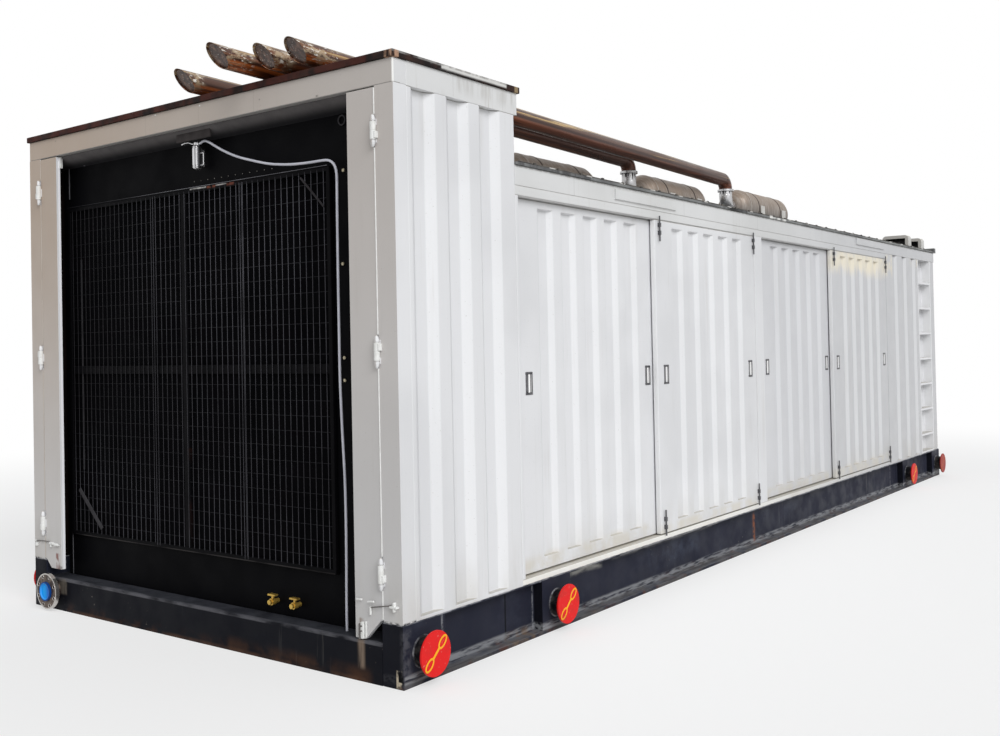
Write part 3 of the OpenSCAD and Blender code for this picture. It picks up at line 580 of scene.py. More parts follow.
@dataclass(frozen=True)
class CapBlue:
    """Blue plastic cap: a dark lip round a dished face, with painted light and shade that make one side
    lighter.
    """

    name: str
    centre: tuple[float, float]
    lip: float = 0.047

    def make(self) -> bpy.types.Material:
        """Builds the material."""
        g = Graph(self.name)
        across, up = (g.math("SUBTRACT", v, c) for v, c in zip((g.y, g.z), self.centre))
        radius = g.distance(across, up)
        # Painted light and shade: one side of the face lighter than the other.
        colour = g.mix(g.ramp(across, 0.012, -0.034), (0, 168, 255), (0, 104, 214))
        colour = g.mix(g.times(g.ramp(g.noise(60.0, 3.0), 0.45, 0.65), 0.25), colour, (40, 150, 236))
        ring = g.band(radius, self.lip - 0.005, self.lip, 0.002)
        colour = g.mix(g.times(ring, 0.7), colour, (96, 178, 232))
        colour = g.mix(g.ramp(radius, self.lip, self.lip + 0.003), colour, (8, 62, 132))
        return g.surface(colour, 0.45, normal=g.bump(g.noise(200.0, 2.0), 0.0002), Specular_IOR_Level=0.2)


# ---------------------------------------------------------------- bench


class Bench:
    """Modelling steps that the sub-assemblies share, and the nodes that they work from."""

    nodes: dict[str, bpy.types.Object] = {}
    body_of: dict[str, str] = {}

    @staticmethod
    def clear() -> None:
        """Leaves edit mode and deselects everything."""
        if bpy.context.object is not None and bpy.context.object.mode != "OBJECT":
            bpy.ops.object.mode_set(mode="OBJECT")
        bpy.ops.object.select_all(action="DESELECT")

    @classmethod
    def pick(cls, *pieces: bpy.types.Object) -> None:
        """Selects only these pieces and makes the first one active."""
        cls.clear()
        for piece in pieces:
            piece.select_set(True)
        bpy.context.view_layer.objects.active = pieces[0]

    @classmethod
    def settle(cls, piece: bpy.types.Object) -> bpy.types.Object:
        """Moves a piece's place, turn and size into its mesh."""
        cls.pick(piece)
        bpy.ops.object.transform_apply(location=True, rotation=True, scale=True)
        return piece

    @classmethod
    def modify(cls, piece: bpy.types.Object, kind: str, **settings: object) -> bpy.types.Object:
        """Adds a modifier with its settings and applies it."""
        cls.pick(piece)
        modifier = piece.modifiers.new(kind.title(), kind)
        for key, value in settings.items():
            setattr(modifier, key, value)
        bpy.ops.object.modifier_apply(modifier=modifier.name)
        return piece

    @classmethod
    def round_edges(cls, piece: bpy.types.Object, width: float, angle: float = 25.0) -> bpy.types.Object:
        """Rounds a piece's edges in two steps and smooths it, keeping its flat faces flat."""
        if width > 0:
            cls.modify(piece, "BEVEL", width=width, segments=2, limit_method="ANGLE",
                       angle_limit=math.radians(angle))
        cls.pick(piece)
        bpy.ops.object.shade_smooth_by_angle(angle=math.radians(50))
        return cls.modify(piece, "WEIGHTED_NORMAL", keep_sharp=True)

    @classmethod
    def block(cls, name: str, low: Point, high: Point, width: float = 0.002) -> bpy.types.Object:
        """Makes a block with rounded edges between two corners."""
        size = [b - a for a, b in zip(low, high)]
        cls.clear()
        bpy.ops.mesh.primitive_cube_add(size=1, location=[(a + b) / 2 for a, b in zip(low, high)], scale=size)
        piece = bpy.context.object
        piece.name = name
        cls.settle(piece)
        return cls.round_edges(piece, min(width, min(size) * 0.4))

    @classmethod
    def turned(cls, name: str, start: Point, along: Vector, profile: Sequence[tuple[float, float]],
               sides: int = 32) -> bpy.types.Object:
        """Makes a round piece from a disc by extruding and resizing its cap.

        Args:
            name: The piece's name.
            start: Where the profile's distance is 0.
            along: The axis it is turned on.
            profile: Distance along the axis and radius, step by step.
            sides: Faces round the piece.

        Returns:
            The piece, smoothed by angle.
        """
        cls.clear()
        bpy.ops.mesh.primitive_circle_add(vertices=sides, radius=profile[0][1], fill_type="NGON",
                                          location=(0, 0, profile[0][0]))
        piece = bpy.context.object
        piece.name = name
        bpy.ops.object.transform_apply(location=True, rotation=True, scale=True)
        bpy.ops.object.mode_set(mode="EDIT")
        bpy.ops.mesh.select_all(action="SELECT")
        for (z0, r0), (z1, r1) in zip(profile, profile[1:]):
            bpy.ops.mesh.extrude_region_move(TRANSFORM_OT_translate={"value": (0, 0, z1 - z0)})
            if r1 != r0:
                bpy.ops.transform.resize(value=(r1 / r0, r1 / r0, 1), center_override=(0, 0, z1))
        bpy.ops.mesh.select_all(action="SELECT")
        bpy.ops.mesh.normals_make_consistent(inside=False)
        bpy.ops.object.mode_set(mode="OBJECT")
        turn = Vector((0, 0, 1)).rotation_difference(along.normalized())
        piece.matrix_world = Matrix.Translation(start) @ turn.to_matrix().to_4x4()
        cls.settle(piece)
        bpy.ops.object.shade_smooth_by_angle(angle=math.radians(38))
        return piece

    @classmethod
    def rod(cls, name: str, a: Point, b: Point, radius: float, sides: int = 12) -> bpy.types.Object:
        """Makes a round bar with eased ends between two points."""
        along = Vector(b) - Vector(a)
        ease = min(radius * 0.3, along.length * 0.2)
        steps = [(0, radius - ease), (ease, radius), (along.length - ease, radius),
                 (along.length, radius - ease)]
        return cls.turned(name, a, along, steps, sides)

    @classmethod
    def curve(cls, name: str, points: Sequence[Point], radius: float, steps: int) -> bpy.types.Object:
        """Makes a round curve along points, with its ends closed."""
        curve = bpy.data.curves.new(name, "CURVE")
        curve.dimensions = "3D"
        curve.bevel_depth, curve.bevel_resolution, curve.use_fill_caps = radius, steps, True
        spline = curve.splines.new("POLY")
        spline.points.add(len(points) - 1)
        for target, point in zip(spline.points, points):
            target.co = (*point, 1)
        piece = bpy.data.objects.new(name, curve)
        bpy.context.scene.collection.objects.link(piece)
        return piece

    @classmethod
    def swept(cls, name: str, points: Sequence[Point], radius: float, steps: int = 3) -> bpy.types.Object:
        """Makes a bent bar or bead of round section along points."""
        cls.clear()
        cls.pick(cls.curve(name, points, radius, steps))
        bpy.ops.object.convert(target="MESH")
        bpy.ops.object.shade_smooth_by_angle(angle=math.radians(60))
        return bpy.context.object

    @classmethod
    def join(cls, name: str, pieces: Iterable[bpy.types.Object]) -> bpy.types.Object:
        """Joins pieces into one."""
        found = list(pieces)
        cls.pick(*found)
        if len(found) > 1:
            bpy.ops.object.join()
        piece = bpy.context.object
        piece.name = piece.data.name = name
        return piece

    @classmethod
    def copy(cls, piece: bpy.types.Object, place: Matrix) -> bpy.types.Object:
        """Copies a piece with its own mesh and moves the copy; a mirrored copy has its faces turned back."""
        cls.pick(piece)
        bpy.ops.object.duplicate(linked=False)
        twin = bpy.context.object
        twin.matrix_world = place @ twin.matrix_world
        cls.settle(twin)
        if place.determinant() < 0:
            bpy.ops.object.mode_set(mode="EDIT")
            bpy.ops.mesh.select_all(action="SELECT")
            bpy.ops.mesh.normals_make_consistent(inside=False)
            bpy.ops.object.mode_set(mode="OBJECT")
        return twin

    @classmethod
    def repeat(cls, piece: bpy.types.Object, step: Point, count: int) -> bpy.types.Object:
        """Repeats a piece in a row."""
        return cls.modify(piece, "ARRAY", count=count, use_relative_offset=False, use_constant_offset=True,
                          constant_offset_displace=step)

    @classmethod
    def both_sides(cls, piece: bpy.types.Object) -> bpy.types.Object:
        """Adds the same piece mirrored on the far side."""
        name = piece.name
        return cls.join(name, [piece, cls.copy(piece, Matrix.Scale(-1, 4, (0, 1, 0)))])

    @classmethod
    def place(cls, piece: bpy.types.Object, material: bpy.types.Material, body: str = BASE,
              stands_for: Sequence[str] = ()) -> bpy.types.Object:
        """Gives a finished piece its material, its body and the nodes it stands for."""
        piece.data.materials.clear()
        piece.data.materials.append(material)
        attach(piece, body)
        if stands_for:
            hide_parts(*stands_for)
        log.info("%s on %s", piece.name, body)
        return piece

    @classmethod
    def soften(cls, node: str, material: bpy.types.Material, width: float = 0.003,
               angle: float = 25.0) -> bpy.types.Object:
        """Stands in for a node with a copy whose edges are rounded, as on folded sheet or a casting.

        Args:
            node: The node.
            material: Its finish.
            width: How far an edge is rounded.
            angle: The least angle of an edge that is rounded, in degrees.

        Returns:
            The new piece.
        """
        source = cls.nodes[node]
        cls.pick(source)
        bpy.ops.object.duplicate(linked=False)
        piece = bpy.context.object
        piece.parent = None
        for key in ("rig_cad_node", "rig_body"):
            del piece[key]
        piece.name = f"{node}.formed"
        bpy.ops.object.mode_set(mode="EDIT")
        bpy.ops.mesh.select_all(action="SELECT")
        bpy.ops.mesh.remove_doubles(threshold=0.00002)
        bpy.ops.object.mode_set(mode="OBJECT")
        cls.round_edges(piece, width, angle)
        return cls.place(piece, material, cls.body_of[node], (node,))

    @classmethod
    def dress(cls, material: bpy.types.Material, *nodes: str) -> None:
        """Gives nodes that keep their own shape their material."""
        for node in nodes:
            cls.nodes[node].data.materials.clear()
            cls.nodes[node].data.materials.append(material)


# ---------------------------------------------------------------- studio


@dataclass
class Studio:
    """The camera, lamps, world and floor."""

    eye: Point = (-8.00584345, -4.6985261, 1.51950634)
    heading: float = 36.8707
    tilt: float = 0.86018
    roll: float = -1.15638
    lens: float = 38.538
    shift: tuple[float, float] = (0.00711, -0.03772)
    sun: Point = (-0.346, -0.742, 0.574)
    sun_energy: float = 2.0
    sky: float = 0.42
    floor_size: float = 90.0

    def camera(self) -> None:
        """Places the camera."""
        data = bpy.data.cameras.new("Camera")
        data.lens, data.sensor_width = self.lens, 36.0
        data.shift_x, data.shift_y = self.shift
        data.clip_end = 200
        camera = bpy.data.objects.new("Camera", data)
        bpy.context.scene.collection.objects.link(camera)
        turn = (Matrix.Rotation(math.radians(self.heading - 90), 4, "Z")
                @ Matrix.Rotation(math.radians(90 + self.tilt), 4, "X")
                @ Matrix.Rotation(math.radians(self.roll), 4, "Z"))
        camera.matrix_world = Matrix.Translation(self.eye) @ turn
        bpy.context.scene.camera = camera

    def lamps(self) -> None:
        """Adds the broad key lamp."""
        data = bpy.data.lights.new("Key", "SUN")
        data.energy, data.angle = self.sun_energy, math.radians(40)
        lamp = bpy.data.objects.new("Key", data)
        bpy.context.scene.collection.objects.link(lamp)
        lamp.rotation_mode = "QUATERNION"
        lamp.rotation_quaternion = Vector(self.sun).to_track_quat("Z", "Y")

    def seen(self, tree: bpy.types.NodeTree) -> Socket:
        """Returns 1 for rays that show the background: from the camera, in gloss and through glass."""
        rays = tree.nodes.new("ShaderNodeLightPath")
        total = rays.outputs["Is Camera Ray"]
        for kind in ("Is Glossy Ray", "Is Transmission Ray"):
            node = tree.nodes.new("ShaderNodeMath")
            node.operation = "MAXIMUM"
            tree.links.new(total, node.inputs[0])
            tree.links.new(rays.outputs[kind], node.inputs[1])
            total = node.outputs[0]
        return total

    def world(self) -> None:
        """Makes the plain white surroundings and the soft sky light."""
        world = bpy.data.worlds.new("Studio")
        bpy.context.scene.world = world
        world.use_nodes = True
        tree = world.node_tree
        tree.nodes.clear()
        out = tree.nodes.new("ShaderNodeOutputWorld")
        mixer = tree.nodes.new("ShaderNodeMixShader")
        light, white = tree.nodes.new("ShaderNodeBackground"), tree.nodes.new("ShaderNodeBackground")
        light.inputs["Color"].default_value = (0.97, 0.985, 1.0, 1.0)
        light.inputs["Strength"].default_value = self.sky
        white.inputs["Color"].default_value = (1, 1, 1, 1)
        tree.links.new(self.seen(tree), mixer.inputs[0])
        tree.links.new(light.outputs[0], mixer.inputs[1])
        tree.links.new(white.outputs[0], mixer.inputs[2])
        tree.links.new(mixer.outputs[0], out.inputs["Surface"])

    def floor(self) -> None:
        """Lays the pale floor, which fades into the surroundings and keeps the shadow."""
        Bench.clear()
        bpy.ops.mesh.primitive_plane_add(size=self.floor_size, location=(0, 0, 0))
        plane = bpy.context.object
        plane.name = "Floor"
        g = Graph("FloorPale")
        tree = g.tree
        shown = g.add("ShaderNodeBsdfDiffuse", None, Color=(246, 246, 246)).outputs[0]
        white = g.add("ShaderNodeEmission", None, Color=(255, 255, 255), Strength=1.0).outputs[0]
        dull = g.add("ShaderNodeBsdfDiffuse", None, Color=(226, 224, 220)).outputs[0]
        far = g.distance(g.x, g.y)
        pale, ray = g.add("ShaderNodeMixShader"), g.add("ShaderNodeMixShader")
        for socket, value in zip(pale.inputs, (g.ramp(far, 5.0, 12.0, 0.55, 1.0), shown, white)):
            g.feed(socket, value)
        for socket, value in zip(ray.inputs, (self.seen(tree), dull, pale.outputs[0])):
            g.feed(socket, value)
        g.add("ShaderNodeOutputMaterial", None, Surface=ray.outputs[0])
        plane.data.materials.append(g.material)

    def build(self) -> None:
        """Sets up the whole studio."""
        bpy.context.scene.view_settings.view_transform = "Standard"
        self.camera()
        self.lamps()
        self.world()
        self.floor()
        log.info("studio ready")


# ---------------------------------------------------------------- sub-assemblies


@dataclass
class VentHose:
    """The hose that leads from the vent bottle across the radiator and down its right edge."""

    plane: float = -4.38
    radius: float = 0.0065
    step: float = 0.02
    route: tuple[tuple[float, float], ...] = (
        (-57, 2632), (-76, 2639), (-98, 2640), (-128, 2629), (-168, 2608), (-230, 2576), (-300, 2545),
        (-370, 2519), (-450, 2496), (-535, 2473), (-610, 2456), (-690, 2444), (-765, 2436), (-840, 2432),
        (-910, 2430), (-965, 2430), (-1010, 2427), (-1040, 2414), (-1060, 2390), (-1069, 2355), (-1070, 2300),
        (-1069, 2200), (-1067, 1900), (-1067, 1600), (-1068, 1370), (-1076, 1150), (-1088, 900), (-1090, 700),
        (-1088, 500), (-1085, 350), (-1084, 240), (-1084, 192),
    )

    def line(self) -> list[Vector]:
        """Returns points along a smooth curve through the route."""
        knots = [Vector((self.plane, y / 1000, z / 1000)) for y, z in self.route]
        points: list[Vector] = []
        for i in range(len(knots) - 1):
            a, b, c, d = (knots[max(0, min(len(knots) - 1, i + k))] for k in (-1, 0, 1, 2))
            count = max(1, math.ceil((c - b).length / self.step))
            for k in range(count):
                t = k / count
                points.append(0.5 * (2 * b + (c - a) * t + (2 * a - 5 * b + 4 * c - d) * t * t
                                     + (3 * b - a - 3 * c + d) * t ** 3))
        return [*points, knots[-1]]

    def build(self) -> None:
        """Makes the hose, which stands in for the vent_hose node."""
        points = self.line()
        hose = Bench.curve("vent_hose.tube", points, self.radius, 3)
        white = PlainFinish("HoseWhite", (206, 207, 218), (176, 178, 190), 0.35, share=0.4).make()
        Bench.place(hose, white, stands_for=("vent_hose",))


@dataclass
class Enclosure:
    """The fixed sheet of the enclosure: walls, headers, posts, sills and roofs."""

    black: Rgb = (26, 27, 34)
    white: Rgb = (255, 255, 255)
    chips: tuple[tuple[float, float, float, Rgb], ...] = (
        (0.245, 2.815, 0.018, (250, 250, 248)), (-0.145, 2.808, 0.006, (250, 250, 248)),
        (0.76, 2.818, 0.030, (128, 92, 78)), (-1.02, 2.722, 0.010, (112, 108, 104)),
        (-0.61, 2.768, 0.006, (140, 136, 130)), (1.21, 2.80, 0.010, (150, 138, 128)))
    clip_height: float = 2.469

    def feet(self) -> Patch:
        """Returns the ragged edge of the skid's paint along the foot of the walls."""
        return Patch((-4.46, -1.51, 0.27), (4.46, 1.51, 0.294), self.black, 1.0, 0.006, 38.0)

    def walls(self) -> None:
        """Forms and paints the walls, posts and headers."""
        feet = self.feet()
        cream = (226, 217, 196)
        white = SheetPaint("SheetWhite", base=(225, 226, 229), tone=(217, 218, 221), share=0.0).make()
        lines = seams((-2.96, -1.62, -0.42, 0.94, 1.78, 2.66, 3.4), (0, -1.53, 2.35), (0, 1.53, 2.455),
                      (120, 118, 114), 0.4)
        rim = Patch((-3.6, -1.6, 2.445), (4.5, 1.6, 2.46), (150, 150, 148), 0.6, 0.004, 30.0)
        header = SheetPaint("HeaderWhite", base=(218, 219, 220), tone=(208, 209, 209), streak_share=0.3,
                            share=0.0, patches=(*lines, rim)).make()
        # Painted light: the ladder bay is brighter than the walls, with near-white front faces, so its recess
        # shows little shade.
        bays = SheetPaint("LadderWhite", base=(232, 233, 236), tone=(226, 227, 230), foot=0.1,
                          shade=self.white, front_light=(252, 253, 255), dull=0.2, flank_shading=0.0, patches=(feet,)).make()
        # Painted light: the faces of the posts that look to the front are painted white.
        posts = SheetPaint("BayWhite", base=(224, 225, 228), tone=(218, 219, 222), foot=0.1,
                           shade=self.white, front_light=self.white, dull=0.6, patches=(feet,)).make()
        rear = SheetPaint("RearWhite", share=0.0, patches=(
            feet, Patch((2.69, -1.6, 2.13), (2.90, 1.6, 2.36), cream, 0.8, 0.04, 7.0),
            Patch((3.5, -1.6, 2.27), (3.86, 1.6, 2.36), cream, 0.5, 0.03, 7.0),
            Patch((4.44, -1.6, 1.5), (4.46, 1.6, 2.3), (166, 120, 100), 0.5, 0.004, 9.0, (1, 1, 0.1)))).make()
        lines = seams((-4.02, -3.62), (0, -1.53, 2.72), (0, 1.53, 2.82), (150, 148, 144), 0.35)
        rain = Patch((-4.0, -1.6, 2.75), (-3.5, 1.6, 2.83), (176, 174, 170), 0.45, 0.03, 34.0, (1, 1, 0.08))
        tall = SheetPaint("TallHeaderWhite", base=(219, 220, 221), tone=(210, 211, 212), streak_share=0.75,
                          share=0.0, patches=(*lines, rain)).make()
        for node, width, material in (
                ("tall_walls", 0.0062, white), ("step_wall", 0.004, white),
                ("tall_header_sides", 0.004, tall), ("side_headers", 0.003, header),
                ("door_rails", 0.003, header), ("door_posts", 0.004, posts), ("rear_panels", 0.0062, rear),
                ("ladder_bays", 0.004, bays), ("rear_corner_posts", 0.006, rear),
                ("rear_wall", 0.0062, rear), ("ladder_steps", 0.003, bays)):
            Bench.soften(node, material, width)
        marks = (Patch((-3.6, -1.51, 0.28), (2.7, 1.51, 0.2905), self.black, 0.9, 0.003, 26.0),
                 Patch((-3.6, -1.46, 0.28), (2.7, -1.452, 0.36), (150, 140, 116), 0.7, 0.002, 0.0))
        sill = SheetPaint("SillCream", base=(240, 239, 235), tone=(230, 227, 220), foot=0.15, share=0.0,
                          patches=marks).make()
        Bench.soften("door_sills", sill, 0.003)
        strips = [Bench.block("foot", (x0, -1.4996, 0.288), (x1, -1.468, 0.303), 0.0)
                  for x0, x1 in ((-4.358, -3.526), (2.689, 3.793))]
        grime = Patch((-4.46, -1.51, 0.27), (4.46, 1.51, 0.2905), (120, 120, 122), 0.5, 0.002, 26.0)
        Bench.place(Bench.both_sides(Bench.join("wall_feet", strips)),
                    SheetPaint("FootWhite", share=0.0, foot=0.1, patches=(grime,)).make())

    def front(self) -> None:
        """Forms and paints the header and the posts at the radiator end."""
        chips = tuple(Patch((-4.46, y - w, z - 0.004), (-4.44, y + w, z + 0.004), tone, 0.8, 0.002, 60.0)
                      for y, z, w, tone in self.chips)
        lines = seams((0.324, -0.134, -0.567), (-4.46, 0, 2.712), (-4.44, 0, 2.826), (138, 126, 116), 0.28)
        # The second patch is a painted highlight along the near vertical corner.
        edge = (Patch((-4.46, -1.6, 2.706), (-4.40, 1.6, 2.7155), (120, 112, 106), 0.6, 0.002, 0.0),
                Patch((-4.46, -1.51, 2.70), (-4.443, -1.493, 2.83), (252, 252, 250), 0.9, 0.002, 0.0))
        header = SheetPaint("HeaderFront", base=(219, 220, 222), tone=(212, 213, 214),
                            patches=(*chips, *lines, *edge)).make()
        Bench.soften("tall_header_front", header, 0.004)
        Bench.soften("corner_posts", SheetPaint("PostWhite", patches=(self.feet(),)).make(), 0.003, angle=40)

    def roofs(self) -> None:
        """Forms and paints the roofs and the clutter along their edges."""
        film = (226, 226, 224)
        brown = PlainFinish("RoofBrown", (33, 28, 28), (62, 44, 39), 0.6, scale=13.0, share=0.8,
                            specular=0.08, patches=(
            Patch((-4.20, -1.52, 2.829), (-3.62, -1.50, 2.86), film, 1.0, 0.006, 9.0, (0.35, 1, 2)),
            Patch((-4.12, -1.52, 2.834), (-3.60, -1.50, 2.855), film, 0.85, 0.006, 0.0),
            Patch((-4.47, -1.52, 2.846), (-3.6, -1.50, 2.862), (150, 148, 146), 0.8, 0.002, 20.0),
            Patch((-3.53, -1.52, 2.82), (-3.50, -1.50, 2.86), (150, 132, 104), 0.9, 0.004, 0.0),
            Patch((-4.47, -1.52, 2.82), (-4.42, -1.46, 2.86), (186, 150, 126), 0.9, 0.003, 40.0, (1, 1, 0.3)),
            Patch((-4.47, -1.35, 2.82), (-4.45, 1.52, 2.86), (92, 48, 40), 0.5, 0.01, 9.0))).make()
        grey = PlainFinish("RoofGrey", (128, 130, 130), (86, 86, 88), 0.6, scale=5.0, share=0.8,
                           specular=0.2, patches=(
            Patch((4.42, -1.47, 2.46), (4.46, 1.5, 2.53), (214, 212, 208), 0.9, 0.006, 6.0),
            Patch((-3.52, -1.52, 2.45), (-2.77, -1.5, 2.48), (60, 60, 62), 0.8, 0.01, 24.0, (1, 1, 0.2)),
            Patch((-1.11, -1.52, 2.45), (-0.63, -1.5, 2.48), (28, 27, 28), 1.0, 0.01, 9.0, (1, 1, 0.2)),
            Patch((-0.25, -1.52, 2.45), (0.12, -1.5, 2.48), (236, 236, 234), 0.9, 0.01, 14.0,
                  (1, 1, 0.2)))).make()
        Bench.soften("tall_roof", brown, 0.003)
        Bench.soften("main_roof", grey, 0.003)
        dark = PlainFinish("ClipDark", (66, 64, 62), (120, 114, 106), 0.6, specular=0.2).make()
        pale = PlainFinish("ClipPale", (198, 196, 192), (150, 146, 140), 0.5).make()
        for name, material, start, step, size, count in (
                ("edge_clips", dark, -3.36, 0.231, (0.020, 0.012, 0.014), 33),
                ("edge_straps", pale, -3.21, 0.377, (0.052, 0.010, 0.008), 20)):
            corner = Vector((start, -1.510, self.clip_height))
            clip = Bench.block(name, tuple(corner), tuple(corner + Vector(size)), 0.002)
            Bench.place(Bench.both_sides(Bench.repeat(clip, (step, 0, 0), count)), material)
        cable = Bench.rod("edge_cable", (-3.49, -1.496, 2.476), (4.36, -1.496, 2.476), 0.005, 8)
        Bench.place(Bench.both_sides(cable), dark)

    def seals(self) -> None:
        """Adds the brush seals over the doors, which close their upper gap."""
        parts = [Bench.block("seal", (x0, y0, 2.2955), (x1, y1, 2.301), 0.001)
                 for x0, x1 in ((-3.496, -0.499), (-0.308, 2.683))
                 for y0, y1 in ((-1.492, -1.470), (-1.449, -1.428))]
        # Their pale grey is partly painted light, which lifts the shade in the gap over the doors.
        grey = PlainFinish("BrushGrey", (206, 206, 206), (176, 176, 178), 0.8, specular=0.1).make()
        Bench.place(Bench.both_sides(Bench.join("brush_seals", parts)), grey)

    def build(self) -> None:
        """Forms and paints each sheet."""
        self.walls()
        self.front()
        self.roofs()
        self.seals()


@dataclass
class Skid:
    """The steel base with its deck, trunnions and discs."""

    centres: tuple[float, ...] = (-4.315, -3.22, 3.22, 4.315)
    height: float = 0.146
    disc_face: float = -1.577
    lean: float = math.radians(43)
    flatness: float = 0.15
    link: tuple[float, float, float] = (0.063, 0.033, 0.0175)
    bead: tuple[tuple[float, float], ...] = ((0, 0.069), (0, 0.077), (0.004, 0.074), (0.007, 0.069))

    def build(self) -> None:
        """Forms and paints the skid."""
        pale, orange = (150, 152, 158), (150, 88, 52)
        beads = tuple(Patch((x - 0.006, -1.51, 0.02), (x + 0.006, 1.51, 0.288), pale, 0.55, 0.003, 46.0)
                      for x in (-3.371, 2.84))
        side = SkidPaint("SkidSide", patches=(
            *beads, Patch((-4.186, -1.51, 0.20), (-4.172, 1.51, 0.288), pale, 0.6, 0.003, 46.0),
            Patch((-0.51, -1.51, 0.02), (-0.47, 1.51, 0.28), orange, 0.6, 0.008, 34.0),
            Patch((-3.618, -1.51, 0.03), (-3.606, 1.51, 0.27), (12, 12, 16), 0.9, 0.003, 0.0),
            Patch((-2.10, -1.51, 0.12), (-1.40, 1.51, 0.24), (92, 100, 118), 0.22, 0.06, 9.0),
            Patch((-4.6, -1.52, 0.283), (4.6, 1.52, 0.289), (170, 172, 178), 0.6, 0.002, 30.0, (0.4, 1, 2)),
            Patch((-3.02, -1.52, 0.235), (-2.66, 1.52, 0.286), (178, 178, 174), 0.75, 0.018, 13.0,
                  (0.35, 1, 1.4)),
            Patch((-2.55, -1.52, 0.252), (-1.2, 1.52, 0.286), (150, 150, 150), 0.6, 0.012, 17.0,
                  (0.35, 1, 1.6)),
            Patch((-4.445, -1.52, -0.01), (4.5, 1.52, 0.035), (86, 84, 84), 0.8, 0.006, 16.0, (0.5, 1, 1)),
            Patch((-4.445, -1.52, 0.022), (4.6, 1.52, 0.060), (150, 152, 156), 0.75, 0.008, 34.0,
                  (0.25, 1, 2)),
            Patch((-3.62, -1.52, 0.0), (-3.42, 1.52, 0.05), (128, 106, 84), 0.6, 0.02, 11.0),
            Patch((-4.46, -1.49, 0.004), (-4.43, -1.456, 0.085), (206, 194, 172), 0.95, 0.003, 26.0),
            Patch((-4.46, -1.495, 0.034), (-4.43, -1.468, 0.078), (8, 8, 9), 1.0, 0.002, 0.0),
            Patch((-4.46, -1.52, -0.01), (-4.40, -1.49, 0.26), (98, 98, 104), 0.6, 0.02, 26.0))).make()
        # The end beams are painted darker than the sides, as painted shade at the front of the skid.
        end = SkidPaint("SkidEnd", base=(20, 21, 27), film=(30, 31, 38), dust=(70, 72, 78), dust_share=0.6,
                        rust_share=0.2, patches=(
            Patch((-4.46, -1.38, 0.176), (-4.43, 1.38, 0.194), (104, 104, 110), 0.8, 0.003, 11.0,
                  (1, 0.3, 1)),
            Patch((-4.46, -1.262, 0.06), (-4.43, -1.222, 0.196), (150, 132, 116), 0.75, 0.012, 13.0,
                  (1, 1, 0.25)),
            Patch((-4.46, -1.30, -0.01), (-4.43, -0.3, 0.06), (92, 64, 46), 0.6, 0.03, 5.0),
            Patch((-4.46, -1.38, -0.01), (-4.43, 1.1, 0.016), (96, 70, 56), 0.6, 0.01, 6.0),
            Patch((-4.46, 1.16, 0.10), (-4.43, 1.24, 0.19), (130, 122, 112), 0.6, 0.01, 24.0,
                  (1, 1, 0.3)))).make()
        Bench.soften("skid_side_beams", side, 0.004)
        Bench.soften("skid_end_beams", end, 0.006)
        Bench.dress(end, "skid_cross_members")
        Bench.dress(PlainFinish("DeckSteel", (70, 72, 76), (98, 92, 84), 0.6, 0.3).make(), "floor_deck")
        stub = PlainFinish("StubBlack", (18, 18, 22), (92, 88, 84), 0.5, specular=0.1, scale=20,
                           share=0.45).make()
        Bench.soften("lifting_trunnions", stub, 0.004)
        Bench.soften("trunnion_discs", DiscPaint("DiscRed", (228, 34, 34), (150, 62, 54)).make(), 0.002)
        beads = [Bench.turned("bead", (x, -1.499, self.height), Axis.BACK_Y.value, self.bead, 40)
                 for x in self.centres]
        grey = PlainFinish("BeadGrey", (34, 35, 42), (150, 152, 156), 0.5, specular=0.1, scale=14.0,
                           share=0.8).make()
        Bench.place(Bench.both_sides(Bench.join("stub_beads", beads)), grey)
        links = Bench.both_sides(Bench.join("disc_links", [self.mark(x) for x in self.centres]))
        Bench.place(links, DiscPaint("LinkYellow", (248, 182, 40), (168, 84, 58)).make())

    def mark(self, x: float) -> bpy.types.Object:
        """Makes the two-link figure of one disc, flattened until it is a millimetre proud of its face."""
        along = Vector((math.cos(self.lean), 0, math.sin(self.lean)))
        across = Vector((-math.sin(self.lean), 0, math.cos(self.lean)))
        centre = Vector((x, self.disc_face, self.height))
        offset, long, wide = self.link
        parts = []
        for side in (-1, 1):
            ring = [tuple(centre + along * (side * offset + long * math.cos(a))
                          + across * (wide * math.sin(a))) for a in around(24)]
            parts.append(Bench.swept("link", ring, 0.005, 2))
        ends = (tuple(centre + along * s) for s in (-0.036, 0.036))
        parts.append(Bench.rod("bar", *ends, 0.0065, 8))
        mark = Bench.join("link_mark", parts)
        face = Vector((0, self.disc_face, 0))
        mark.matrix_world = (Matrix.Translation(face) @ Matrix.Scale(self.flatness, 4, (0, 1, 0))
                             @ Matrix.Translation(-face))
        return Bench.settle(mark)


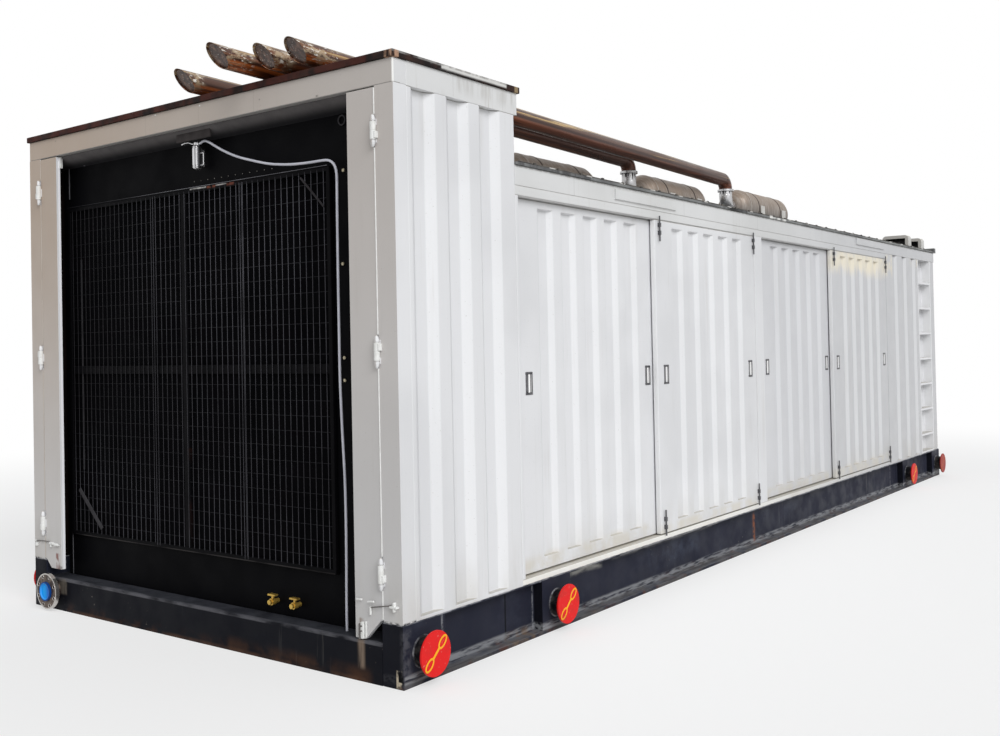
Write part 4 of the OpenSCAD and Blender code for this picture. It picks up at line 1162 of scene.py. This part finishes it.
@dataclass
class Flaps:
    """The two narrow flaps beside the radiator with their hinges, seams and latches."""

    face: float = -4.450
    hinge: tuple[float, float] = (-4.463, -1.385)
    heights: tuple[float, ...] = (0.506, 1.506, 2.506)
    sleeve: tuple[tuple[float, float], ...] = (
        (0.0, 0.0125), (0.001, 0.0143), (0.0385, 0.0143), (0.0395, 0.0132), (0.0415, 0.0132),
        (0.0425, 0.0143), (0.080, 0.0143), (0.081, 0.0125))
    seam_step: float = 0.003

    def hinges(self, paint: bpy.types.Material) -> None:
        """Adds the sleeves and leaves of the hinges, and the bead along each seam."""
        x, y = self.hinge
        barrels = [Bench.turned("sleeve", (x, y, z - 0.0405), Axis.Z.value, self.sleeve, 20)
                   for z in self.heights]
        for z, low in zip(self.heights, (-0.036, 0.004, -0.036)):
            near, far = (x - 0.009, y - 0.020, z + low), (self.face + 0.001, y, z + low + 0.032)
            barrels.append(Bench.block("leaf", near, far, 0.002))
        Bench.place(Bench.both_sides(Bench.join("flap_hinges", barrels)), paint)
        ends = [0.300, *(v for z in self.heights for v in (z - 0.076, z + 0.076)), 2.704]
        beige = PlainFinish("BeadBeige", (196, 188, 178), (184, 172, 160), 0.5).make()
        for name, side, radius, finish in (("near_bead", 1, 0.0034, paint), ("far_bead", -1, 0.0018, beige)):
            at = side * (y + self.seam_step)
            beads = [Bench.rod("bead", (self.face, at, a), (self.face, at, b), radius, 8)
                     for a, b in zip(ends[::2], ends[1::2])]
            Bench.place(Bench.join(name, beads), finish)

    def near_latches(self, paint: bpy.types.Material, dark: bpy.types.Material) -> None:
        """Adds the pegs, the cranked rod and the foot bolt on the near flap."""
        x = self.face
        white = [Bench.rod("peg", (x - 0.012, -1.229, 0.376), (x - 0.012, -1.264, 0.379), 0.005, 10),
                 Bench.rod("peg", (x - 0.012, -1.300, 0.372), (x - 0.012, -1.338, 0.377), 0.005, 10),
                 Bench.block("lever", (x - 0.014, -1.318, 0.314), (x - 0.004, -1.309, 0.352), 0.003),
                 Bench.block("arm", (x - 0.020, -1.481, 0.361), (x, -1.436, 0.371), 0.003),
                 Bench.block("arm", (x - 0.018, -1.465, 0.345), (x, -1.454, 0.388), 0.003),
                 Bench.block("foot", (x - 0.016, -1.270, 0.200), (x, -1.254, 0.276), 0.002),
                 Bench.block("foot", (x - 0.008, -1.283, 0.205), (x, -1.275, 0.280), 0.002)]
        rods = [Bench.rod("crank", (x - 0.010, -1.309, 0.347), (x - 0.010, -1.440, 0.372), 0.003, 8),
                Bench.rod("bolt", (x - 0.012, -1.246, 0.196), (x - 0.012, -1.246, 0.268), 0.005, 8),
                Bench.rod("stud", (x - 0.022, -1.262, 0.258), (x, -1.262, 0.258), 0.004, 8),
                Bench.rod("stud", (x - 0.022, -1.262, 0.236), (x, -1.262, 0.236), 0.004, 8)]
        Bench.place(Bench.join("near_latches", white), paint)
        Bench.place(Bench.join("near_latch_rods", rods), dark)

    def far_latches(self, paint: bpy.types.Material, dark: bpy.types.Material) -> None:
        """Adds the lug, the rod, the handle and the pointed bolt on the far flap."""
        x = self.face
        white = [Bench.block("lug", (x - 0.014, 1.458, 0.362), (x, 1.474, 0.384), 0.003),
                 Bench.block("stop", (x - 0.008, 1.474, 0.386), (x, 1.490, 0.398), 0.003),
                 Bench.block("cross", (x - 0.016, 1.283, 0.386), (x, 1.324, 0.398), 0.003),
                 Bench.block("stem", (x - 0.014, 1.304, 0.368), (x, 1.316, 0.390), 0.003),
                 Bench.turned("point", (x - 0.009, 1.268, 0.387), Axis.BACK_Y.value,
                              [(0, 0.009), (0.020, 0.010), (0.052, 0.002)], 12)]
        bend = [(x - 0.004, 1.486, 0.390), (x - 0.006, 1.44, 0.396), (x - 0.006, 1.37, 0.399),
                (x - 0.006, 1.322, 0.396)]
        rods = [Bench.swept("shaft", bend, 0.0028, 2)]
        Bench.place(Bench.join("far_latches", white), paint)
        Bench.place(Bench.join("far_latch_rods", rods), dark)

    def build(self) -> None:
        """Forms and paints the flaps."""
        rust = (126, 70, 58)
        flaps = SheetPaint("FlapWhite", patches=(
            Patch((-4.46, 1.23, 0.24), (-4.44, 1.27, 0.335), rust, 0.85, 0.006, 40.0, (1, 1, 0.5)),
            Patch((-4.46, 1.20, 0.24), (-4.44, 1.25, 0.262), (70, 44, 40), 0.7, 0.008, 40.0),
            Patch((-4.46, -1.26, 0.19), (-4.44, -1.235, 0.29), (134, 112, 96), 0.7, 0.006, 30.0, (1, 1, 0.4)),
            # The last patch is a painted highlight on the inner edge of the far flap.
            Patch((-4.44, 1.205, 0.22), (-4.42, 1.215, 2.72), (250, 250, 255), 0.9, 0.002, 0.0))).make()
        Bench.soften("end_flaps", flaps, 0.003, angle=40)
        white = PlainFinish("HingeWhite", (236, 237, 236), (214, 214, 210), 0.4, scale=30).make()
        dark = PlainFinish("RodGrey", (108, 104, 102), (70, 66, 64), 0.5, 0.3).make()
        self.hinges(white)
        self.near_latches(white, dark)
        self.far_latches(white, dark)
        stop = Bench.block("flap_stop", (-4.430, 1.200, 2.640), (-4.412, 1.211, 2.706), 0.002)
        Bench.place(stop, white)


@dataclass
class Radiator:
    """The black radiator frame, the fan guard with its wires and the fittings on it."""

    front: float = -4.335
    low: tuple[float, float] = (-0.996, 0.440)
    high: tuple[float, float] = (1.244, 2.405)
    edge: float = 0.024
    wire: float = 0.00175
    fine: float = 0.0011
    inset: float = 0.01
    upright_x: float = -4.3565
    first_upright: float = 0.041
    upright_pitch: float = 0.043
    overlap_x: float = -4.3585
    overlaps: tuple[float, ...] = (-0.362, -0.338, 0.376, 0.398)
    level_x: float = -4.353
    level_pitch: float = 0.0755
    level_rim: float = 0.03
    known_level: float = 1.272
    foot_of_bottle: Point = (-4.38, -0.027, 2.495)
    bottle_outline: tuple[tuple[float, float], ...] = (
        (0, 0.010), (0.004, 0.019), (0.010, 0.0245), (0.014, 0.025), (0.016, 0.023), (0.019, 0.023),
        (0.021, 0.025), (0.112, 0.025), (0.114, 0.023), (0.117, 0.023), (0.119, 0.025), (0.124, 0.0235),
        (0.130, 0.017), (0.143, 0.016))
    # Painted reflections and shade: dark stripes down the chrome bottle at set places across it.
    bottle_reflections: tuple[tuple[float, float, Rgb, float], ...] = (
        (-0.0535, -0.047, (70, 70, 74), 0.9), (-0.041, -0.036, (84, 84, 88), 0.85),
        (-0.020, -0.0125, (120, 112, 108), 0.8), (-0.0065, 0.0, (52, 50, 52), 0.9))
    stud_outline: tuple[tuple[float, float], ...] = ((-0.001, 0.0028), (0.002, 0.0028), (0.003, 0.0018))
    bolt_outline: tuple[tuple[float, float], ...] = ((-0.001, 0.009), (0.006, 0.009), (0.008, 0.006))
    eye_ring: float = 0.0225

    def wires(self) -> None:
        """Makes the two layers of guard wires, doubled where two panels overlap."""
        foot, head = self.low[1] + self.inset, self.high[1] - self.inset
        rows = math.floor((self.high[0] - self.low[0] - 2 * self.inset) / self.upright_pitch)
        y = self.low[0] + self.first_upright
        upright = Bench.rod("upright", (self.upright_x, y, foot), (self.upright_x, y, head), self.wire, 6)
        Bench.repeat(upright, (0, self.upright_pitch, 0), rows)
        doubled = [Bench.rod("overlap", (self.overlap_x, y, foot), (self.overlap_x, y, head), self.wire, 6)
                   for y in self.overlaps]
        Bench.place(Bench.join("guard_uprights", [upright, *doubled]), GuardWire("GuardUpright").make())
        steps = math.floor((self.known_level - self.low[1] - self.level_rim) / self.level_pitch)
        z = self.known_level - self.level_pitch * steps
        count = math.floor((self.high[1] - self.level_rim - z) / self.level_pitch) + 1
        near, far = self.low[0] + self.inset, self.high[0] - self.inset
        level = Bench.rod("level", (self.level_x, near, z), (self.level_x, far, z), self.fine, 6)
        Bench.repeat(level, (0, 0, self.level_pitch), count)
        level.name = "guard_levels"
        Bench.place(level, GuardWire("GuardLevel", (19, 19, 22), (52, 52, 56)).make())

    def bars(self) -> bpy.types.Object:
        """Makes the guard's edge bars and its cross."""
        x0, x1 = self.front - self.edge, self.front
        (y0, z0), (y1, z1), e = self.low, self.high, self.edge
        spans = (((y0, z0), (y1, z0 + e)), ((y0, z1 - e), (y1, z1)),
                 ((y0, z0), (y0 + e, z1)), ((y1 - e, z0), (y1, z1)),
                 ((0.110, z0), (0.158, z1)), ((y0, 1.403), (y1, 1.451)))
        bars = [Bench.block("bar", (x0 + 0.001 * i, *a), (x1, *b), 0.003) for i, (a, b) in enumerate(spans)]
        return Bench.join("guard_bars", bars)

    def slant(self, name: str, a: Point, b: Point, width: float) -> bpy.types.Object:
        """Makes a flat bar that leans across the guard."""
        run = Vector(b) - Vector(a)
        bar = Bench.block(name, (-0.003, -width / 2, 0), (0.003, width / 2, run.length), 0.002)
        lean = Vector((0, 0, 1)).rotation_difference(run.normalized())
        bar.matrix_world = Matrix.Translation(a) @ lean.to_matrix().to_4x4()
        return Bench.settle(bar)

    def hood(self) -> None:
        """Adds the sloping cover under the header, its edges and the liners beside the radiator."""
        cover = Bench.block("soffit", (-4.418, -1.384, 2.700), (-4.337, 1.384, 2.711), 0.0)
        Bench.pick(cover)
        bpy.ops.object.mode_set(mode="EDIT")
        mesh = bmesh.from_edit_mesh(cover.data)
        for vert in mesh.verts:
            vert.select_set(vert.co.x > -4.38 and vert.co.z < 2.705)
        mesh.select_flush_mode()
        bmesh.update_edit_mesh(cover.data)
        bpy.ops.transform.translate(value=(0, 0, -0.052))
        bpy.ops.object.mode_set(mode="OBJECT")
        # Painted shade under the header: the cover is painted grey, darker towards its lower edge.
        shadow = Patch((-4.45, -1.6, 2.55), (-4.30, 1.6, 2.676), (22, 22, 25), 0.95, 0.022, 0.0)
        soffit = PlainFinish("SoffitGrey", (104, 101, 102), (88, 85, 87), 0.6, specular=0.05,
                             patches=(shadow,))
        Bench.place(cover, soffit.make())
        liner = [Bench.block("liner", (-4.422, -1.3845, 0.192), (-4.287, -1.379, 2.699), 0.001)]
        black = PlainFinish("LinerBlack", (22, 18, 18), (38, 27, 25), 0.7, specular=0.03, scale=3)
        Bench.place(Bench.both_sides(Bench.join("side_liners", liner)), black.make())
        pale = [Bench.rod("edge", (-4.339, 1.30, 2.653), (-4.339, -1.30, 2.653), 0.0012, 6),
                Bench.rod("fold", (-4.339, 1.308, 2.705), (-4.339, 0.965, 2.653), 0.0035, 6),
                Bench.rod("fold", (-4.341, 1.309, 2.687), (-4.341, 1.078, 2.651), 0.003, 6),
                Bench.rod("strip", (-4.340, 1.250, 2.679), (-4.340, 1.250, 2.464), 0.0035, 6),
                Bench.rod("strip", (-4.340, 1.264, 2.0), (-4.340, 1.264, 0.195), 0.0022, 6)]
        grey = PlainFinish("EdgeGrey", (96, 96, 100), (46, 46, 50), 0.6, specular=0.1, scale=2.5, share=0.8)
        Bench.place(Bench.join("frame_edges", pale), grey.make())
        plate = Bench.block("header_plate", (-4.408, -0.170, 2.650), (-4.396, 0.112, 2.706), 0.003)
        Bench.place(plate, PlainFinish("PlateBrown", (70, 66, 66), (50, 47, 48), 0.6, specular=0.05).make())

    def bottle(self) -> None:
        """Makes the vent bottle with its fittings, arms and side tubes."""
        x, y, z = self.foot_of_bottle
        body = Bench.turned("bottle", (x, y, z), Axis.Z.value, self.bottle_outline, 32)
        wall = self.front + 0.001
        arms = [Bench.block("arm", (x, y - 0.008, z + h), (wall, y + 0.008, z + h + 0.020), 0.002)
                for h in (0.020, 0.090)]
        inlet = [(x, y + 0.01, 2.632), (x, 0.012, 2.637), (x, 0.04, 2.648), (x, 0.07, 2.650),
                 (x, 0.100, 2.644)]
        cap = [Bench.rod("outlet", (x, y, z + 0.137), (x, y - 0.030, z + 0.137), 0.0068, 12),
               Bench.swept("inlet", inlet, 0.0042, 3),
               Bench.rod("sight", (x + 0.004, -0.076, 2.516), (x + 0.004, -0.076, 2.580), 0.0035, 10),
               Bench.rod("branch", (x + 0.004, -0.076, 2.516), (x, y, 2.516), 0.003, 8),
               Bench.rod("branch", (x + 0.004, -0.076, 2.580), (x, y, 2.580), 0.003, 8)]
        # The bottle's painted reflections and shade.
        bands = tuple(Patch((-4.42, a, 2.49), (-4.37, b, 2.64), tone, share, 0.0015, 0.0)
                      for a, b, tone, share in self.bottle_reflections)
        chrome = PlainFinish("Chrome", (214, 214, 216), (186, 184, 184), 0.22, 0.8, patches=bands).make()
        whole = Bench.join("vent_bottle.turned", [body, *arms, *cap])
        Bench.place(whole, chrome, stands_for=("vent_bottle",))

    def studs(self) -> None:
        """Adds the row of studs over the guard and the bolts beside it."""
        start = (self.front, 0.055, 2.443)
        stud = Bench.turned("frame_studs", start, Axis.BACK_X.value, self.stud_outline, 8)
        Bench.repeat(stud, (0, -0.0565, 0), 12)
        bolts = [Bench.turned("bolt", (self.front, y, z), Axis.BACK_X.value, self.bolt_outline, 6)
                 for y, z in ((-1.072, 2.377), (-1.058, 1.929), (-1.058, 1.479), (-1.058, 1.371))]
        stud.name = "frame_studs"
        dark = Patch((-4.36, -0.1, 2.42), (-4.32, 0.1, 2.46), (40, 39, 40), 0.9, 0.06, 0.0)
        grey = PlainFinish("StudGrey", (120, 118, 112), (70, 68, 64), 0.4, 0.4, patches=(dark,))
        Bench.place(stud, grey.make())
        brass = PlainFinish("StudBrass", (186, 176, 150), (120, 108, 84), 0.4, 0.5)
        Bench.place(Bench.join("frame_bolts", bolts), brass.make())

    def braces(self) -> None:
        """Adds the braces of the guard, the lifting eye and the wire along the top."""
        eye = [(self.front - 0.006, -1.071 + self.eye_ring * math.cos(a), 2.617 + self.eye_ring * math.sin(a))
               for a in around(24)]
        brace = [self.slant("brace", (-4.361, 1.152, 0.716), (-4.361, 0.925, 0.497), 0.026),
                 Bench.swept("eye", eye, 0.004, 2),
                 Bench.rod("bar", (-4.342, 1.13, 0.83), (-4.342, 1.13, 2.09), 0.005, 6)]
        grey = PlainFinish("BraceGrey", (58, 57, 60), (40, 39, 42), 0.6, specular=0.1)
        Bench.place(Bench.join("guard_braces", brace), grey.make())
        faint = self.slant("guard_brace_top", (-4.361, -0.799, 2.368), (-4.361, -0.960, 2.210), 0.010)
        Bench.place(faint, PlainFinish("BraceDark", (48, 46, 48), (34, 33, 36), 0.6, specular=0.1).make())
        line = Bench.rod("guard_line", (-4.3605, 1.240, 2.409), (-4.3605, -0.985, 2.409), 0.0013, 6)
        Bench.place(line, GuardWire("LineWire", (40, 40, 44), (150, 150, 156)).make())

    def build(self) -> None:
        """Forms and paints the radiator."""
        black = PlainFinish("RadiatorBlack", (7, 7, 9), (12, 12, 15), 0.55, specular=0.03, scale=3.0).make()
        guard = PlainFinish("GuardBlack", (9, 9, 11), (15, 14, 17), 0.5, specular=0.03, scale=5.0, patches=(
            Patch((-4.37, -0.07, 2.397), (-4.33, 0.066, 2.42), (214, 212, 210), 0.9, 0.003, 24.0,
                  (1, 0.4, 1)),
            Patch((-4.37, -0.147, 2.392), (-4.33, -0.075, 2.42), (124, 74, 60), 0.9, 0.004, 26.0),
            Patch((-4.37, -0.236, 2.398), (-4.33, -0.15, 2.42), (206, 202, 200), 0.8, 0.003, 24.0,
                  (1, 0.4, 1)),
            Patch((-4.37, -0.33, 2.390), (-4.33, -0.238, 2.42), (118, 70, 58), 0.8, 0.004, 26.0),
            Patch((-4.37, 0.105, 0.45), (-4.33, 0.13, 1.0), (70, 40, 30), 0.6, 0.006, 5.0, (1, 1, 0.3)),
            Patch((-4.37, -0.99, 0.440), (-4.359, 1.2, 0.447), (104, 100, 100), 0.6, 0.002, 12.0,
                  (1, 0.3, 1))))
        core = PlainFinish("CoreBlack", (5, 5, 7), (9, 8, 10), 0.8, specular=0.02, scale=4.0)
        Bench.soften("radiator_frame", black, 0.003)
        Bench.dress(core.make(), "radiator_core")
        Bench.place(self.bars(), guard.make(), stands_for=("fan_guard",))
        self.wires()
        self.hood()
        self.bottle()
        self.studs()
        self.braces()
        brass = PlainFinish("Brass", (206, 172, 84), (150, 112, 52), 0.3, 0.7).make()
        Bench.soften("drain_valves", brass, 0.002)


@dataclass
class Doors:
    """The eight sliding doors with their pulls and bolts."""

    lit: Rgb = (255, 255, 255)
    recesses: tuple[float, ...] = (-1.484, 1.484, -1.441, 1.441)
    rims: tuple[tuple[float, float], ...] = (
        (-1.5016, -1.495), (1.495, 1.5016), (-1.4586, -1.452), (1.452, 1.4586))

    def paint(self, i: int, tone: Rgb) -> bpy.types.Material:
        """Returns the enamel of one pair of doors."""
        cream = (232, 224, 204)
        stains_and_shade = {
            1: (Patch((-3.5, -1.6, 0.32), (-1.9, 1.6, 0.40), (206, 200, 186), 0.6, 0.03, 6.0),),
            2: (Patch((-2.1, -1.6, 0.32), (-0.4, 1.6, 0.38), (210, 204, 190), 0.6, 0.02, 6.0),),
            # The first patch of door 3 is painted shade over the whole door.
            3: (Patch((-0.4, -1.6, 0.30), (1.3, 1.6, 2.40), (202, 203, 208), 0.3, 0.002, 0.0),
                Patch((-0.4, -1.6, 0.32), (1.3, 1.6, 0.39), (200, 194, 180), 0.5, 0.03, 6.0)),
            4: (Patch((1.1, -1.6, 2.12), (2.8, 1.6, 2.32), cream, 0.75, 0.06, 11.0, (1, 1, 0.35)),
                Patch((1.3, -1.6, 2.17), (2.55, 1.6, 2.30), cream, 0.6, 0.05, 0.0),
                Patch((1.1, -1.6, 0.32), (2.8, 1.6, 0.40), (206, 200, 186), 0.5, 0.03, 6.0)),
        }
        # Painted light: the faces of the doors that look to the front are painted white.
        return SheetPaint(f"DoorWhite{i}", base=tone, tone=tuple(c - 10 for c in tone), shade=self.lit,
                          front_light=self.lit, patches=stains_and_shade[i]).make()

    def build(self) -> None:
        """Forms and paints each door."""
        # Painted shade: the doors nearer the rear are painted darker, where the light falls off.
        tones = {1: (226, 227, 230), 2: (226, 227, 230), 3: (220, 221, 224), 4: (212, 213, 216)}
        # Painted light: the floors of the pull recesses are painted light grey.
        grips = [Patch((-3.6, face - 0.004, 1.272), (2.8, face + 0.004, 1.368), (168, 168, 172), 0.9,
                       0.003, 0.0) for face in self.recesses]
        rims = [Patch((-3.6, a, 1.272), (2.8, b, 1.368), (252, 252, 252), 1.0, 0.0004, 0.0)
                for a, b in self.rims]
        pull = PlainFinish("PullDark", (74, 74, 78), (112, 112, 114), 0.4, 0.3, scale=60, share=0.6,
                           patches=(*grips, *rims)).make()
        for i, tone in tones.items():
            paint = self.paint(i, tone)
            for side in ("near", "far"):
                Bench.soften(f"{side}_door_{i}", paint, 0.006)
                Bench.soften(f"{side}_pulls_{i}", pull, 0.0015, angle=40)


@dataclass
class Exhaust:
    """The four exhaust runs, with their bends, necks, silencers and saddles."""

    turns: tuple[float, ...] = (4.736, 3.462, 2.020, 1.040)
    clamp: tuple[tuple[float, float], ...] = (
        (-0.003, 0.056), (-0.003, 0.063), (-0.001, 0.0665), (0.014, 0.0665), (0.016, 0.063), (0.016, 0.056))
    centre: float = 2.65
    shell: float = 0.1485
    roof: float = 2.470
    saddles: tuple[float, ...] = (0.405, 0.865)

    def clamps(self) -> bpy.types.Object:
        """Makes the steel bands that clamp the bends to the necks."""
        bands = []
        for y, turn in zip(PIPE_ROWS, self.turns):
            low = PIPE_HEIGHT - (turn - 0.079) * PIPE_SLOPE - 0.094
            bands.append(Bench.turned("band", (PIPE_END + turn, y, low), Axis.Z.value, self.clamp, 32))
        return Bench.join("neck_clamps", bands)

    def girdle(self, at: float, half: float, radius: float) -> list[bpy.types.Object]:
        """Makes one ring round each silencer."""
        outline = [(-half, self.shell), (-half, radius), (half, radius), (half, self.shell)]
        return [Bench.turned("ring", (PIPE_END + turn + at, y, self.centre), Axis.X.value, outline, 56)
                for y, turn in zip(PIPE_ROWS, self.turns)]

    def legs(self) -> bpy.types.Object:
        """Makes the side plates of the saddles, which the bands hold."""
        plates = []
        for y, turn in zip(PIPE_ROWS, self.turns):
            for x in (PIPE_END + turn + at for at in self.saddles):
                for side in (-1, 1):
                    for name, inner, outer, half, top in (
                            ("leg", 0.1515, 0.1565, 0.040, 2.672), ("foot", 0.150, 0.200, 0.046, 2.478)):
                        a, b = sorted((y + side * inner, y + side * outer))
                        plates.append(Bench.block(name, (x - half, a, self.roof), (x + half, b, top), 0.001))
        return Bench.join("saddle_legs", plates)

    def build(self) -> None:
        """Forms and paints the exhaust."""
        pipe = CopperPipe("PipeBrown").make()
        steel = BrushedSteel("SilencerSteel").make()
        bright = PlainFinish("NeckSteel", (196, 196, 198), (150, 146, 140), 0.28, 0.85, scale=16).make()
        saddle = PlainFinish("SaddleWhite", (206, 206, 204), (170, 166, 160), 0.5).make()
        for node, material in (("exhaust_pipes", pipe), ("exhaust_bends", pipe),
                               ("silencers", steel), ("silencer_necks", bright)):
            Bench.soften(node, material, 0.0, angle=60)
        Bench.soften("silencer_saddles", saddle, 0.002, angle=40)
        Bench.soften("mouth_covers", CrinkledFilm("MouthFilm").make(), 0.0)
        Bench.place(self.clamps(), bright)
        # The weld rings are light grey, partly a painted highlight along the seam.
        weld_highlight = PlainFinish("WeldHighlightGrey", (206, 200, 194), (150, 140, 130), 0.5, 0.5, scale=40).make()
        Bench.place(Bench.join("silencer_weld_highlights", self.girdle(0.183, 0.002, 0.151)), weld_highlight)
        bands = self.girdle(0.340, 0.006, 0.1522) + self.girdle(0.800, 0.006, 0.1522)
        brown = PlainFinish("BandBrown", (66, 54, 46), (44, 36, 32), 0.5, 0.3, scale=30).make()
        Bench.place(Bench.join("silencer_bands", bands), brown)
        Bench.place(self.legs(), PlainFinish("LegGrey", (206, 204, 200), (178, 174, 168), 0.5).make())


@dataclass
class RoofHoods:
    """The two rain hoods at the rear of the roof."""

    mouths: tuple[float, ...] = (3.697, 4.187)

    def build(self) -> None:
        """Forms and paints the hoods, whose insides are painted black as shade."""
        # Painted shade: the insides of the hoods are painted black.
        inside = tuple(Patch((x - 0.02, -1.407, 2.479), (x + 0.101, -1.203, 2.579), (14, 14, 15), 1.0,
                             0.002, 0.0) for x in self.mouths)
        grey = SheetPaint("HoodGrey", base=(214, 213, 208), tone=(196, 194, 188), foot=0.0, dull=0.3,
                          front_light=(206, 200, 190), patches=inside)
        Bench.soften("roof_hoods", grey.make(), 0.008)


@dataclass
class InletFlange:
    """The gas inlet with rims round its bolt holes, and its cap."""

    centre: Point = (-4.51, 1.281, 0.118)
    circle: float = 0.0875
    holes: int = 8
    rim: float = 0.0105

    def build(self) -> None:
        """Forms and paints the inlet."""
        x, y, z = self.centre
        Bench.soften("gas_inlet_flange", FlangeSteel("FlangeSteel", (y, z), 0.105).make(), 0.002, angle=40)
        rims = []
        for k in range(self.holes):
            a = math.tau * (k + 0.5) / self.holes
            cy, cz = y + self.circle * math.cos(a), z + self.circle * math.sin(a)
            ring = [(x, cy + self.rim * math.cos(b), cz + self.rim * math.sin(b)) for b in around(16)]
            rims.append(Bench.swept("rim", ring, 0.0014, 1))
        steel = PlainFinish("RimSteel", (206, 202, 198), (150, 140, 132), 0.3, 0.8).make()
        Bench.place(Bench.join("hole_rims", rims), steel)
        Bench.soften("inlet_cap", CapBlue("CapBlue", (y, z)).make(), 0.002, angle=40)


def main() -> None:
    """Builds the studio and every sub-assembly."""
    logging.basicConfig(level=logging.INFO, format="%(levelname)s %(message)s")
    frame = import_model()
    bpy.ops.object.select_all(action="DESELECT")
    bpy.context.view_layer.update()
    Bench.nodes = frame["nodes"]
    bodies = frame["record"]["behaviour"]["bodies"]
    Bench.body_of = {n: body for body, members in bodies.items() for n in members}
    for assembly in (Studio(), VentHose(), Enclosure(), Skid(), InletFlange(), Flaps(), Radiator(), Doors(),
                     Exhaust(), RoofHoods()):
        assembly.build()
        log.info("%s built", type(assembly).__name__)
    bpy.context.view_layer.update()


if __name__ == "__main__":
    main()
